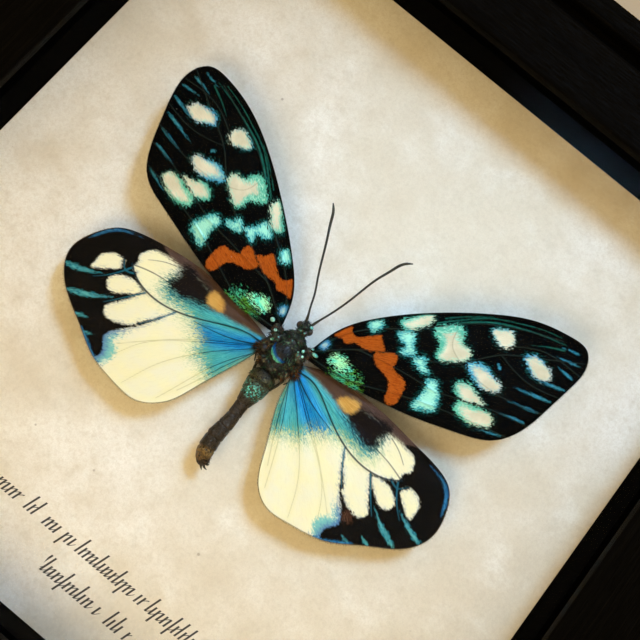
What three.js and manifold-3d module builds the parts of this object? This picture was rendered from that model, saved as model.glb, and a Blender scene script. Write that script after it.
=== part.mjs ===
// A spread moth in a small black shadow-box frame, lying on its back with the glass up.
// Millimetres. +Z is up through the glass, +Y is the frame's top and the moth's head end.
// The origin is under the middle of the frame, on the surface that it rests on.
import * as THREE from 'three';
import { mergeVertices } from 'three/addons/utils/BufferGeometryUtils.js';
import Module from 'manifold-3d';

const wasm = await Module();
wasm.setup();

// Driving dimensions of the frame.
const frameDepth = 26;
const openingWidth = 116;
const faceWidth = 12;
const grooveWidth = 2.7;
const grooveDepth = 2.6;
const rimWidth = 4.8;
const rabbetStep = 5.5;
const lipThickness = 2.2;
const arrisRadius = 0.9;
const innerArris = 0.5;
const mitreGap = 0.1;
const gap = 0.3;

// Driving dimensions of the layers between the wooden rails.
const paperTop = 13;
const paperThickness = 0.4;
const foamThickness = 5;
const backBoardThickness = 3;
const glassThickness = 2;

// Small hardware on the back.
const pointWidth = 8;
const pointLength = 12;
const pointInWood = 4;
const pointThickness = 0.5;
const pointsPerRail = 2;
const pointSpacing = 70;
const hangerWidth = 44;
const hangerBand = 9;
const hangerThickness = 0.8;
const hangerRise = 1.1;
const hangerFoot = 9;
const hangerTeeth = 7;
const hangerFromTop = 14;
const tackHeadRadius = 1.9;
const tackShankRadius = 0.6;
const tackLength = 2.2;

// Driving dimensions of the moth. Heights are above the paper.
const mothCentreX = 1.6;
const bodyHeight = 4.3;
const wingThickness = 0.36;
const antennaRadius = 0.24;
const legRadius = 0.26;
const pinRadius = 0.25;
const pinDepthInFoam = 4.5;
const pinTopHeight = 4.6;
const thoraxY = -3;

// Sizes that follow from the ones above.
const railWidth = faceWidth + grooveWidth + rimWidth;
const openingHalf = openingWidth / 2;
const frameHalf = openingHalf + railWidth;
const rabbetHalf = openingHalf + rabbetStep;
const rabbetWall = railWidth - rabbetStep;
const rabbetCeiling = frameDepth - lipThickness;
const glassTop = rabbetCeiling - gap;
const glassBottom = glassTop - glassThickness;
const spacerTop = glassBottom - gap;
const spacerBottom = paperTop + gap;
const foamTop = paperTop - paperThickness - gap;
const foamBottom = foamTop - foamThickness;
const backBoardTop = foamBottom - gap;
const backBoardBottom = backBoardTop - backBoardThickness;
const pointTop = backBoardBottom - gap;
const hangerTop = backBoardBottom - gap;
const hangerY = openingHalf - hangerFromTop;
const layerSize = 2 * (rabbetHalf - gap);
const holeRadius = pinRadius + gap;

const colours = {
  stainedWood: 0x15120f,
  spacerCard: 0x120f0c,
  glass: 0xe8f0ee,
  parchment: 0xe6dac4,
  foam: 0xf2f2ee,
  hardboard: 0x7a5a3c,
  steel: 0x9a9a98,
  brass: 0xb08d4a,
  mothBody: 0x241d18,
  forewing: 0x0b0c0c,
  hindwing: 0xe8dfc0,
  antenna: 0x1a1d18,
};

const material = (colour, roughness, metalness = 0, extra = {}) =>
  new THREE.MeshStandardMaterial({ color: colour, roughness, metalness, ...extra });

const object = new THREE.Group();

function addPiece(parent, name, geometry, surface) {
  const mesh = new THREE.Mesh(geometry, surface);
  mesh.name = name;
  parent.add(mesh);
  return mesh;
}

// Solid of a closed geometry, for cutting and joining.
function solidOf(geometry) {
  const bare = geometry.clone();
  bare.deleteAttribute('normal');
  bare.deleteAttribute('uv');
  const merged = mergeVertices(bare, 1e-4);
  return new wasm.Manifold(new wasm.Mesh({
    numProp: 3,
    vertProperties: new Float32Array(merged.attributes.position.array),
    triVerts: new Uint32Array(merged.index.array),
  }));
}

// Geometry of a solid, with flat shading.
function geometryOf(solid) {
  const mesh = solid.getMesh();
  const indexed = new THREE.BufferGeometry();
  indexed.setAttribute('position', new THREE.BufferAttribute(mesh.vertProperties, 3));
  indexed.setIndex(new THREE.BufferAttribute(mesh.triVerts, 1));
  const geometry = indexed.toNonIndexed();
  geometry.computeVertexNormals();
  return geometry;
}

// Box between two heights, centred on x and y.
function slab(width, length, low, high, x = 0, y = 0) {
  const geometry = new THREE.BoxGeometry(width, length, high - low);
  geometry.translate(x, y, (low + high) / 2);
  return geometry;
}

// Upright round bar between two heights.
function bar(radius, low, high, x, y, sides = 12) {
  const geometry = new THREE.CylinderGeometry(radius, radius, high - low, sides);
  geometry.rotateX(Math.PI / 2);
  geometry.translate(x, y, (low + high) / 2);
  return geometry;
}

// One rail: its section, drawn by distance in from the outer face, runs the frame's whole
// side, and its ends are drawn back by that same distance to make the mitres. The face has
// an outer rim, a deep groove and a flat inner part, with rounded arrises.
function railGeometry() {
  const section = new THREE.Shape();
  const roundedTop = (from, to) => {
    section.absarc(to - arrisRadius, frameDepth - arrisRadius, arrisRadius, 0, Math.PI / 2, false);
    section.absarc(from + arrisRadius, frameDepth - arrisRadius, arrisRadius,
      Math.PI / 2, Math.PI, false);
  };
  const grooveFloor = frameDepth - grooveDepth;
  section.moveTo(0, 0);
  section.lineTo(rabbetWall, 0);
  section.lineTo(rabbetWall, rabbetCeiling);
  section.lineTo(railWidth, rabbetCeiling);
  section.lineTo(railWidth, frameDepth - innerArris);
  section.lineTo(railWidth - innerArris, frameDepth);
  section.absarc(rimWidth + grooveWidth + arrisRadius, frameDepth - arrisRadius, arrisRadius,
    Math.PI / 2, Math.PI, false);
  section.lineTo(rimWidth + grooveWidth, grooveFloor);
  section.lineTo(rimWidth, grooveFloor);
  roundedTop(0, rimWidth);
  section.closePath();
  const geometry = new THREE.ExtrudeGeometry(section, {
    depth: 1, steps: 1, bevelEnabled: false, curveSegments: 3,
  });
  const position = geometry.attributes.position;
  for (let i = 0; i < position.count; i += 1) {
    const inward = position.getX(i);
    const height = position.getY(i);
    const end = position.getZ(i) > 0.5 ? 1 : -1;
    const along = end * (frameHalf - inward - mitreGap);
    position.setXYZ(i, along, inward - frameHalf, height);
  }
  return geometry;
}

// Slots that the metal points are pushed into.
function railWithSlots() {
  let rail = solidOf(railGeometry());
  for (let i = 0; i < pointsPerRail; i += 1) {
    const x = (i - (pointsPerRail - 1) / 2) * pointSpacing;
    const slotLength = pointInWood + 2 * gap;
    const slotY = rabbetWall - frameHalf - slotLength / 2 + gap;
    const slot = slab(pointWidth + 2 * gap, slotLength,
      pointTop - pointThickness - gap, pointTop + gap, x, slotY);
    rail = rail.subtract(solidOf(slot));
  }
  return geometryOf(rail);
}

// Thin diamond-nosed plate, pushed into the rail and holding the back board in.
function pointGeometry() {
  const nose = 2.5;
  const outline = new THREE.Shape();
  outline.moveTo(-pointWidth / 2, nose);
  outline.lineTo(0, 0);
  outline.lineTo(pointWidth / 2, nose);
  outline.lineTo(pointWidth / 2, pointLength - nose);
  outline.lineTo(pointWidth / 4, pointLength);
  outline.lineTo(-pointWidth / 4, pointLength);
  outline.lineTo(-pointWidth / 2, pointLength - nose);
  outline.closePath();
  const geometry = new THREE.ExtrudeGeometry(outline, {
    depth: pointThickness, bevelEnabled: false,
  });
  geometry.translate(0, 0, -pointThickness);
  return geometry;
}

// Saw-toothed hanger: a low bridge of strip metal with teeth cut in its lower edge.
function hangerGeometry() {
  const half = hangerWidth / 2;
  const middle = half - hangerFoot;
  const slope = 2;
  const side = new THREE.Shape();
  side.moveTo(-half, 0);
  side.lineTo(-half, -hangerThickness);
  side.lineTo(-middle, -hangerThickness);
  side.lineTo(-middle + slope, -hangerThickness - hangerRise);
  side.lineTo(middle - slope, -hangerThickness - hangerRise);
  side.lineTo(middle, -hangerThickness);
  side.lineTo(half, -hangerThickness);
  side.lineTo(half, 0);
  side.lineTo(middle, 0);
  side.lineTo(middle - slope, -hangerRise);
  side.lineTo(-middle + slope, -hangerRise);
  side.lineTo(-middle, 0);
  side.closePath();
  const strip = new THREE.ExtrudeGeometry(side, { depth: hangerBand, bevelEnabled: false });
  strip.rotateX(Math.PI / 2);
  strip.translate(0, hangerY + hangerBand / 2, hangerTop);
  let hanger = solidOf(strip);
  const pitch = (2 * (middle - slope)) / hangerTeeth;
  const toothDepth = 2.2;
  const cutDepth = 6;
  for (let i = 0; i < hangerTeeth; i += 1) {
    const x = (i - (hangerTeeth - 1) / 2) * pitch;
    const notch = new THREE.Shape();
    notch.moveTo(x - pitch / 2 + gap, 0);
    notch.lineTo(x, toothDepth);
    notch.lineTo(x + pitch / 2 - gap, 0);
    notch.lineTo(x + pitch / 2 - gap, -toothDepth);
    notch.lineTo(x - pitch / 2 + gap, -toothDepth);
    notch.closePath();
    const cutter = new THREE.ExtrudeGeometry(notch, { depth: cutDepth, bevelEnabled: false });
    cutter.translate(0, hangerY - hangerBand / 2, hangerTop - cutDepth + gap);
    hanger = hanger.subtract(solidOf(cutter));
  }
  for (const x of tackPlaces()) {
    const hole = bar(tackShankRadius + gap, hangerTop - cutDepth, hangerTop + gap, x, hangerY);
    hanger = hanger.subtract(solidOf(hole));
  }
  return geometryOf(hanger);
}

function tackPlaces() {
  const x = (hangerWidth - hangerFoot) / 2;
  return [-x, x];
}

// Domed tack with its shank up in the back board.
function tackGeometry() {
  const headBack = -hangerThickness - gap;
  const profile = [
    new THREE.Vector2(0, headBack - 0.7),
    new THREE.Vector2(tackHeadRadius * 0.7, headBack - 0.5),
    new THREE.Vector2(tackHeadRadius, headBack),
    new THREE.Vector2(tackShankRadius, headBack),
    new THREE.Vector2(tackShankRadius, tackLength - 0.6),
    new THREE.Vector2(0, tackLength),
  ];
  const geometry = new THREE.LatheGeometry(profile, 12);
  geometry.rotateX(Math.PI / 2);
  return geometry;
}

function buildFrame() {
  const wood = material(colours.stainedWood, 0.5);
  const card = material(colours.spacerCard, 0.9);
  const steel = material(colours.steel, 0.4, 1);
  const sides = ['bottom', 'right', 'top', 'left'];
  sides.forEach((side, turn) => {
    const angle = (turn * Math.PI) / 2;
    addPiece(object, `rail_${side}`, railWithSlots(), wood).rotation.z = angle;
    for (let i = 0; i < pointsPerRail; i += 1) {
      const holder = new THREE.Group();
      holder.rotation.z = angle;
      object.add(holder);
      const point = addPiece(holder, `glazing_point_${side}_${i + 1}`, pointGeometry(), steel);
      const x = (i - (pointsPerRail - 1) / 2) * pointSpacing;
      point.position.set(x, rabbetWall - frameHalf - pointInWood, pointTop);
    }
  });
  // The top and bottom strips run the full width, and the side strips fit between them.
  const stripWidth = rabbetHalf - gap - openingHalf;
  const stripMiddle = openingHalf + stripWidth / 2;
  const sideStripLength = 2 * (openingHalf - gap);
  for (const [side, sign] of [['bottom', -1], ['top', 1]]) {
    addPiece(object, `spacer_${side}`,
      slab(layerSize, stripWidth, spacerBottom, spacerTop, 0, sign * stripMiddle), card);
  }
  for (const [side, sign] of [['left', -1], ['right', 1]]) {
    addPiece(object, `spacer_${side}`,
      slab(stripWidth, sideStripLength, spacerBottom, spacerTop, sign * stripMiddle, 0), card);
  }
  addPiece(object, 'glass_pane', slab(layerSize, layerSize, glassBottom, glassTop),
    material(colours.glass, 0.03, 0, { transparent: true, opacity: 0.15 }));
}

function buildLayers() {
  const paperBottom = paperTop - paperThickness;
  const paper = solidOf(slab(layerSize, layerSize, paperBottom, paperTop))
    .subtract(solidOf(bar(holeRadius, paperBottom - 1, paperTop + 1, mothCentreX, thoraxY)));
  addPiece(object, 'parchment_sheet', geometryOf(paper), material(colours.parchment, 0.9));
  const pinFoot = foamTop - pinDepthInFoam;
  const foam = solidOf(slab(layerSize, layerSize, foamBottom, foamTop))
    .subtract(solidOf(bar(holeRadius, pinFoot - gap, foamTop + 1, mothCentreX, thoraxY)));
  addPiece(object, 'foam_board', geometryOf(foam), material(colours.foam, 0.95));
  let board = solidOf(slab(layerSize, layerSize, backBoardBottom, backBoardTop));
  for (const x of tackPlaces()) {
    const hole = bar(tackShankRadius + gap, backBoardBottom - 1, hangerTop + tackLength + gap,
      x, hangerY);
    board = board.subtract(solidOf(hole));
  }
  addPiece(object, 'back_board', geometryOf(board), material(colours.hardboard, 0.8));
  const brass = material(colours.brass, 0.35, 1);
  addPiece(object, 'sawtooth_hanger', hangerGeometry(), brass);
  tackPlaces().forEach((x, i) => {
    addPiece(object, `hanger_tack_${i + 1}`, tackGeometry(), brass)
      .position.set(x, hangerY, hangerTop);
  });
}

const point3 = ([x, y, z]) => new THREE.Vector3(x, y, z);
const curve2 = (points) => new THREE.CatmullRomCurve3(
  points.map(([x, y]) => new THREE.Vector3(x, y, 0)), false, 'catmullrom', 0.5);

// Outlines of the wings, measured from the moth's middle line with x outwards:
// leading edge from the joint to the apex, outer margin from the apex to the hind corner,
// and trailing edge from the joint to the hind corner.
const wingOutlines = {
  forewing_right: {
    side: 1,
    lead: [[3.0, 0.4], [4.3, 5.4], [7.8, 10.8], [14.4, 17.5], [21.8, 23.4], [27.8, 27.0],
      [34.1, 28.8], [37.6, 28.6]],
    margin: [[37.6, 28.6], [39.0, 26.2], [38.9, 22.5], [38.0, 17.5], [36.8, 12.0],
      [34.4, 7.9]],
    trail: [[3.2, -1.3], [8.0, -0.9], [14.3, 0.4], [21.1, 2.1], [28.4, 4.7], [34.4, 7.9]],
  },
  forewing_left: {
    side: -1,
    lead: [[3.0, 0.6], [4.4, 4.6], [8.6, 9.6], [15.0, 15.0], [22.2, 20.2], [29.3, 24.0],
      [35.9, 25.7], [39.6, 25.3]],
    margin: [[39.6, 25.3], [41.1, 22.9], [40.8, 18.0], [39.2, 13.2], [37.4, 8.6],
      [34.9, 5.0]],
    trail: [[3.2, -1.4], [8.2, -1.7], [15.2, -1.1], [22.8, 0.7], [29.6, 2.7], [34.9, 5.0]],
  },
  hindwing_right: {
    side: 1,
    lead: [[3.4, -2.4], [6.5, -0.9], [11.8, -0.1], [19.0, 0.0], [25.2, -0.6], [30.4, -1.2],
      [33.4, -2.4]],
    margin: [[33.4, -2.4], [35.5, -6.0], [35.9, -10.0], [33.6, -14.0], [28.3, -17.6],
      [24.0, -20.4], [16.9, -22.3], [13.0, -22.5], [10.4, -21.2]],
    trail: [[3.2, -5.0], [4.2, -9.2], [5.8, -12.8], [7.5, -16.4], [8.8, -19.2],
      [10.4, -21.2]],
  },
  hindwing_left: {
    side: -1,
    lead: [[3.4, -2.6], [6.2, -2.0], [10.8, -1.3], [17.4, -0.8], [24.5, -1.5], [29.2, -2.5],
      [33.1, -4.3]],
    margin: [[33.1, -4.3], [35.5, -7.8], [36.4, -11.2], [34.0, -15.5], [27.6, -19.3],
      [22.6, -21.8], [16.9, -22.9], [12.8, -22.8], [10.2, -21.2]],
    trail: [[3.2, -5.0], [4.1, -7.6], [6.2, -13.0], [7.5, -16.6], [8.6, -19.2],
      [10.2, -21.2]],
  },
};

// Lift of each kind of wing: the forewing arches gently over the hindwing, and the
// hindwing is folded like a fan along its length.
const forewingLift = (u, v) => 5.7 + 0.7 * u + 0.45 * u * Math.sin(Math.PI * (1 - v));
const hindwingLift = (u, v) => 4.75 - 0.1 * u - 0.12 * Math.cos(2 * Math.PI * 5 * v) * (1 - 0.5 * u);

// Thin closed wing. A finely divided box is carried onto the patch between the four edges,
// with u from the joint to the margin and v from the leading to the trailing edge.
function wingGeometry(outline, lift, stepsOut, stepsAcross) {
  const geometry = new THREE.BoxGeometry(1, 1, 1, stepsOut, stepsAcross, 1);
  const lead = curve2(outline.lead);
  const margin = curve2(outline.margin);
  const trail = curve2(outline.trail);
  const jointLead = lead.getPointAt(0);
  const jointTrail = trail.getPointAt(0);
  const apex = lead.getPointAt(1);
  const corner = trail.getPointAt(1);
  const position = geometry.attributes.position;
  for (let i = 0; i < position.count; i += 1) {
    const u = position.getX(i) + 0.5;
    const v = 0.5 - position.getY(i);
    const across = new THREE.Vector3().lerpVectors(lead.getPointAt(u), trail.getPointAt(u), v);
    const joint = new THREE.Vector3().lerpVectors(jointLead, jointTrail, v);
    const along = new THREE.Vector3().lerpVectors(joint, margin.getPointAt(v), u);
    const near = new THREE.Vector3().lerpVectors(jointLead, jointTrail, v);
    const far = new THREE.Vector3().lerpVectors(apex, corner, v);
    const place = across.add(along).sub(near.lerp(far, u));
    const height = lift(u, v) + outline.side * position.getZ(i) * wingThickness;
    position.setXYZ(i, outline.side * place.x, place.y, height);
  }
  geometry.computeVertexNormals();
  return geometry;
}

// Ball stretched to three radii about a centre.
function ball([rx, ry, rz], [x, y, z], around = 14, down = 10) {
  const geometry = new THREE.SphereGeometry(1, around, down);
  geometry.rotateX(Math.PI / 2);
  geometry.scale(rx, ry, rz);
  geometry.translate(x, y, z);
  return solidOf(geometry);
}

// Middle line of the body, from the front of the head to the hooked tip of the abdomen.
const bodyLine = [[0, 3.5, 4.5], [0, 0, 4.4], [0, -4, 4.3], [0, -7, 4.3], [0, -9.1, 4.3],
  [0.1, -11.1, 4.1], [0.1, -13.6, 4.0], [0.2, -16.3, 3.9], [0, -19, 3.75],
  [0.2, -21.3, 3.6], [0.8, -22.9, 3.45], [1.7, -23.7, 3.3]];

// Radius of the body by distance along its middle line: head, collar, thorax and waist.
const foreBody = [[0, 0], [0.2, 0.7], [0.6, 1.15], [1.2, 1.35], [1.8, 1.15], [2.1, 0.95],
  [2.4, 1.4], [3.0, 1.85], [3.5, 2.05], [3.7, 1.95], [4.5, 2.5], [5.5, 2.75], [6.5, 2.8],
  [7.5, 2.7], [8.5, 2.4], [9.5, 1.95], [10.1, 1.6]];

// The same for the middle and the hind end of each ring of the abdomen.
const abdomenRings = [[10.9, 2.0], [11.7, 2.1], [12.5, 2.1], [13.4, 1.95], [14.4, 1.72],
  [15.4, 1.42], [16.4, 1.16], [17.4, 1.08], [18.5, 1.1], [19.7, 1.18], [20.9, 1.26],
  [22.1, 1.34], [23.2, 1.36], [24.4, 1.4], [25.5, 1.38], [26.5, 1.2], [27.5, 0.9]];
const ringGrooveDepth = 0.1;
const ringGrooveWidth = 0.2;

// Head with its two eyes, collar, thorax and abdomen grew as one piece. The pin's hole is
// open below.
function bodyGeometry() {
  const line = new THREE.CatmullRomCurve3(bodyLine.map(point3));
  const length = line.getLength();
  const profile = foreBody.map(([along, radius]) => new THREE.Vector2(radius, along));
  abdomenRings.forEach(([along, radius], i) => {
    profile.push(new THREE.Vector2(radius, along));
    if (i % 2 === 1) {
      profile.push(new THREE.Vector2(radius - ringGrooveDepth, along + ringGrooveWidth));
    }
  });
  profile.push(new THREE.Vector2(0, length));
  const geometry = new THREE.LatheGeometry(profile, 18);
  const position = geometry.attributes.position;
  for (let i = 0; i < position.count; i += 1) {
    const t = Math.min(position.getY(i) / length, 1);
    const middle = line.getPointAt(t);
    const ahead = line.getTangentAt(t);
    const sideways = ahead.clone().cross(new THREE.Vector3(0, 0, 1)).normalize();
    const upwards = sideways.clone().cross(ahead);
    middle.addScaledVector(sideways, position.getX(i));
    middle.addScaledVector(upwards, position.getZ(i));
    position.setXYZ(i, middle.x, middle.y, middle.z);
  }
  let body = solidOf(geometry);
  for (const x of [-1.05, 1.05]) {
    body = body.add(ball([0.7, 0.75, 0.8], [x, 2.3, bodyHeight + 0.3]));
  }
  const pinHole = bar(holeRadius, 0, pinTopHeight + gap, 0, thoraxY);
  return geometryOf(body.subtract(solidOf(pinHole)));
}

// Round bar along a smooth line.
function tubeGeometry(points, radius, sides, steps) {
  const section = new THREE.Shape();
  for (let i = 0; i < sides; i += 1) {
    const angle = (2 * Math.PI * i) / sides;
    const x = radius * Math.cos(angle);
    const y = radius * Math.sin(angle);
    if (i === 0) section.moveTo(x, y);
    else section.lineTo(x, y);
  }
  section.closePath();
  return new THREE.ExtrudeGeometry(section, {
    steps, bevelEnabled: false, extrudePath: new THREE.CatmullRomCurve3(points.map(point3)),
  });
}

const antennaLines = {
  antenna_left: [[-0.7, 3.8, 5.0], [-1.4, 5.4, 5.2], [-2.3, 7.6, 5.35], [-3.4, 9.6, 5.45],
    [-4.6, 11.9, 5.6], [-6.3, 15.4, 5.8], [-7.8, 18.3, 5.95], [-8.7, 20.0, 6.05],
    [-9.5, 20.9, 6.1]],
  antenna_right: [[0.7, 3.8, 5.0], [1.5, 6.2, 5.2], [2.4, 9.2, 5.35], [3.2, 12.9, 5.5],
    [3.9, 15.9, 5.65], [4.8, 18.5, 5.8], [5.3, 19.9, 5.9], [5.9, 20.8, 6.0], [6.8, 21.5, 6.1]],
};

// Three pairs of legs, folded back against the underside of the thorax.
const legLines = {
  foreleg: [[0.8, -0.4, 2.1], [1.9, 0.6, 1.5], [2.5, -0.4, 1.0], [1.8, -2.4, 0.7]],
  midleg: [[1.5, -2.4, 1.5], [3.2, -2.0, 1.2], [3.9, -3.6, 0.9], [3.0, -6.4, 0.7]],
  hindleg: [[1.1, -5.0, 1.5], [2.4, -5.6, 1.2], [2.2, -7.6, 0.9], [1.0, -11.0, 0.7]],
};

function buildMoth() {
  const moth = new THREE.Group();
  moth.position.set(mothCentreX, 0, paperTop);
  object.add(moth);
  const chitin = material(colours.mothBody, 0.5);
  const horn = material(colours.antenna, 0.5);
  const wingScales = { fore: material(colours.forewing, 0.6), hind: material(colours.hindwing, 0.6) };
  addPiece(moth, 'moth_body', bodyGeometry(), chitin);
  for (const [name, outline] of Object.entries(wingOutlines)) {
    const fore = name.startsWith('forewing');
    const geometry = fore
      ? wingGeometry(outline, forewingLift, 18, 12)
      : wingGeometry(outline, hindwingLift, 14, 20);
    addPiece(moth, name, geometry, fore ? wingScales.fore : wingScales.hind);
  }
  for (const [name, line] of Object.entries(antennaLines)) {
    addPiece(moth, name, tubeGeometry(line, antennaRadius, 8, 18), horn);
  }
  for (const [name, line] of Object.entries(legLines)) {
    for (const [side, sign] of [['left', -1], ['right', 1]]) {
      const points = line.map(([x, y, z]) => [sign * x, y, z]);
      addPiece(moth, `${name}_${side}`, tubeGeometry(points, legRadius, 6, 9), chitin);
    }
  }
  const pinFoot = foamTop - pinDepthInFoam - paperTop;
  addPiece(moth, 'mounting_pin', bar(pinRadius, pinFoot, pinTopHeight, 0, thoraxY, 10),
    material(colours.steel, 0.3, 1));
}

buildFrame();
buildLayers();
buildMoth();

export default object;
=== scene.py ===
# A spread moth in a small black shadow-box frame, seen from above through its glass.
# The dictionaries are in millimetres, in the frame's own axes: +Z up through the glass and +Y
# towards the frame's top. The moth's own heights are above the paper.
import math
import bpy
import numpy as np
from mathutils import Matrix, Vector


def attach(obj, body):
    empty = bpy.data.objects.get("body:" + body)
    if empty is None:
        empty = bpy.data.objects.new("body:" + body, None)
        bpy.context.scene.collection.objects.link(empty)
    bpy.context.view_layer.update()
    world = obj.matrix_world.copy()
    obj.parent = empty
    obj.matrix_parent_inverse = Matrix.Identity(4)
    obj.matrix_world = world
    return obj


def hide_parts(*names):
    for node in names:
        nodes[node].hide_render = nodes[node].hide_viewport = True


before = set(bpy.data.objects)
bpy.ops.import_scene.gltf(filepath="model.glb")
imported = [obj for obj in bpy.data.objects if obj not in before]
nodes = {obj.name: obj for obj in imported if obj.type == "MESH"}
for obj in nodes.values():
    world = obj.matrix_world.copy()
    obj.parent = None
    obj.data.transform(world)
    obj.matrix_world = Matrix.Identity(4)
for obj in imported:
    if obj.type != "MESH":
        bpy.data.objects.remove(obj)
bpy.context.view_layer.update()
mm = 0.001
print("frame loaded,", len(nodes), "nodes")


# Lines, areas and noise

def smoothLine(points, at, first=0, last=None):
    # cubic spline through the points, or its part between two of them: on each span it runs as
    # (1 - t) p + t q + h^2 / 6 (((1 - t)^3 - (1 - t)) m + (t^3 - t) n), for the span's length h and
    # the bends m and n at its ends; at is a share of the line's own length
    p = np.array(points, float)
    step = np.linalg.norm(np.diff(p, axis=0), axis=1)
    slope = np.diff(p, axis=0) / step[:, None]
    spread = np.diag(2 * (step[:-1] + step[1:])) + np.diag(step[1:-1], 1) + np.diag(step[1:-1], -1)
    bend = np.zeros_like(p)
    bend[1:-1] = np.linalg.solve(spread, 6 * np.diff(slope, axis=0))
    part = slice(first, len(p) - 1 if last is None else last)
    after = slice(part.start + 1, part.stop + 1)
    t = np.linspace(0, 1, 60, endpoint=False)[None, :, None]
    pull = ((1 - t)**3 - (1 - t)) * bend[part, None] + (t**3 - t) * bend[after, None]
    spans = (1 - t) * p[part, None] + t * p[after, None] + step[part, None, None]**2 / 6 * pull
    dense = np.vstack([spans.reshape(-1, p.shape[1]), p[part.stop]])
    run = np.append(0, np.cumsum(np.linalg.norm(np.diff(dense, axis=0), axis=1)))
    return np.stack([np.interp(np.asarray(at) * run[-1], run, axis) for axis in dense.T], axis=-1)


def closedLine(points):
    # the same line run round a closed outline
    p = [tuple(point) for point in points]
    at = np.linspace(0, 1, 7 * len(p), endpoint=False)
    return smoothLine(p[-3:] + p + p[:4], at, 3, 3 + len(p))


def lineField(spots, line, halfWidths):
    # distance to the nearest of a line's short straight pieces, less the half width there
    nearest = np.full(len(spots), 99.0)
    for start, end, half in zip(line[:-1], line[1:], halfWidths):
        along = end - start
        t = np.clip((spots - start) @ along / (along @ along), 0, 1)
        away = spots - start - t[:, None] * along
        nearest = np.minimum(nearest, np.hypot(away[:, 0], away[:, 1]) - half)
    return nearest


def strokeField(spots, points, fromHalf, toHalf=None):
    # a smooth stroke whose half width runs evenly from its first to its last value
    line = smoothLine(points, np.linspace(0, 1, 8 * len(points)))
    toHalf = fromHalf if toHalf is None else toHalf
    return lineField(spots, line, np.linspace(fromHalf, toHalf, len(line)))


def bladeField(spots, points, half):
    # a smooth stroke that is widest past its middle and narrows to nothing at both ends
    t = np.linspace(0, 1, 8 * len(points))
    return lineField(spots, smoothLine(points, t), half * np.sin(np.pi * t**1.6)**0.7)


def areaField(spots, outline):
    # signed distance to a smooth closed outline, negative inside it; a spot is inside where a
    # ray towards +x crosses the outline an odd number of times
    line = closedLine(outline)
    ends = np.roll(line, -1, axis=0)
    x, y = spots.T
    inside = np.zeros(len(spots), bool)
    for (ax, ay), (bx, by) in zip(line, ends):
        if ay != by:
            inside ^= ((ay > y) != (by > y)) & (x < ax + (y - ay) * (bx - ax) / (by - ay))
    away = lineField(spots, np.vstack([line, line[:1]]), np.zeros(len(line)))
    return np.where(inside, -away, away)


def cloud(spots, size, seed, octaves=3):
    # smooth noise about 0: random values on a cubic lattice, blended by the eased share of the
    # way between lattice points; each octave is half as large and half as strong
    table = np.random.default_rng(seed).uniform(-1, 1, (32, 32, 32))
    total = np.zeros(len(spots))
    for octave in range(octaves):
        p = spots / size * 2**octave + 7.3 * octave
        base = np.floor(p).astype(int)
        share = p - base
        share = share**2 * (3 - 2 * share)
        for corner in np.ndindex(2, 2, 2):
            index = (base + corner) % 32
            weight = np.prod(np.where(corner, share, 1 - share), axis=1)
            total += weight * table[index[:, 0], index[:, 1], index[:, 2]] / 2**octave
    return total


# Surfaces: each is a dictionary of points, faces and fields, a field being one value a point

def gridQuads(rows, columns, wrap=False):
    index = np.arange(rows * columns).reshape(rows, columns)
    if wrap:
        index = np.hstack([index, index[:, :1]])
    corners = [index[:-1, :-1], index[1:, :-1], index[1:, 1:], index[:-1, 1:]]
    return np.stack(corners, axis=-1).reshape(-1, 4)


def facingOut(points, faces):
    # turns all faces of a closed surface over where its volume comes out below nought
    middle = points.mean(axis=0)
    volume = 0.0
    for part in faces:
        for k in range(1, part.shape[1] - 1):
            a, b, c = (points[part[:, i]] - middle for i in (0, k, k + 1))
            volume += np.einsum("ij,ij->", a, np.cross(b, c))
    return faces if volume > 0 else [part[:, ::-1] for part in faces]


def surface(points, faces, **fields):
    return dict(points=points, faces=facingOut(points, faces), fields=fields)


def poleCaps(rows, sides):
    # triangles from a grid's first and last ring to the two points that follow the grid
    first = np.arange(sides)
    last = first + (rows - 1) * sides
    return np.vstack([
        np.stack([np.roll(first, -1), first, np.full(sides, rows * sides)], axis=1),
        np.stack([last, np.roll(last, -1), np.full(sides, rows * sides + 1)], axis=1)])


def tube(middle, radii, sides, ridge=None):
    # bar along a line: middle(s) + radius(s, a) * (cos a * sideways + sin a * upwards), for
    # distance s along it and angle a round it, closed by a point at each end
    ahead = np.gradient(middle, axis=0)
    ahead /= np.linalg.norm(ahead, axis=1, keepdims=True)
    sideways = np.cross(ahead, [0, 0, 1.0])
    sideways /= np.linalg.norm(sideways, axis=1, keepdims=True)
    upwards = np.cross(sideways, ahead)
    angle = np.linspace(0, 2 * np.pi, sides, endpoint=False)[None, :, None]
    spread = radii[:, None, None] * (np.ones((1, sides, 1)) if ridge is None else ridge[:, :, None])
    circle = np.cos(angle) * sideways[:, None] + np.sin(angle) * upwards[:, None]
    rings = middle[:, None] + spread * circle
    rows = len(middle)
    points = np.vstack([rings.reshape(-1, 3), middle[:1], middle[-1:]])
    return surface(points, [gridQuads(rows, sides, wrap=True), poleCaps(rows, sides)])


def ball(centre, radii, rows=24, sides=36):
    # centre + radii * (cos b * cos a, cos b * sin a, sin b), for angle a round it and height
    # angle b, closed at both poles
    b = np.linspace(-np.pi / 2, np.pi / 2, rows + 2)[1:-1, None]
    a = np.linspace(0, 2 * np.pi, sides, endpoint=False)[None, :]
    shell = np.stack([np.cos(b) * np.cos(a), np.cos(b) * np.sin(a), np.sin(b) + 0 * a], axis=-1)
    points = np.vstack([shell.reshape(-1, 3), [[0, 0, -1], [0, 0, 1]]]) * radii + centre
    return surface(points, [gridQuads(rows, sides, wrap=True), poleCaps(rows, sides)])


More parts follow.
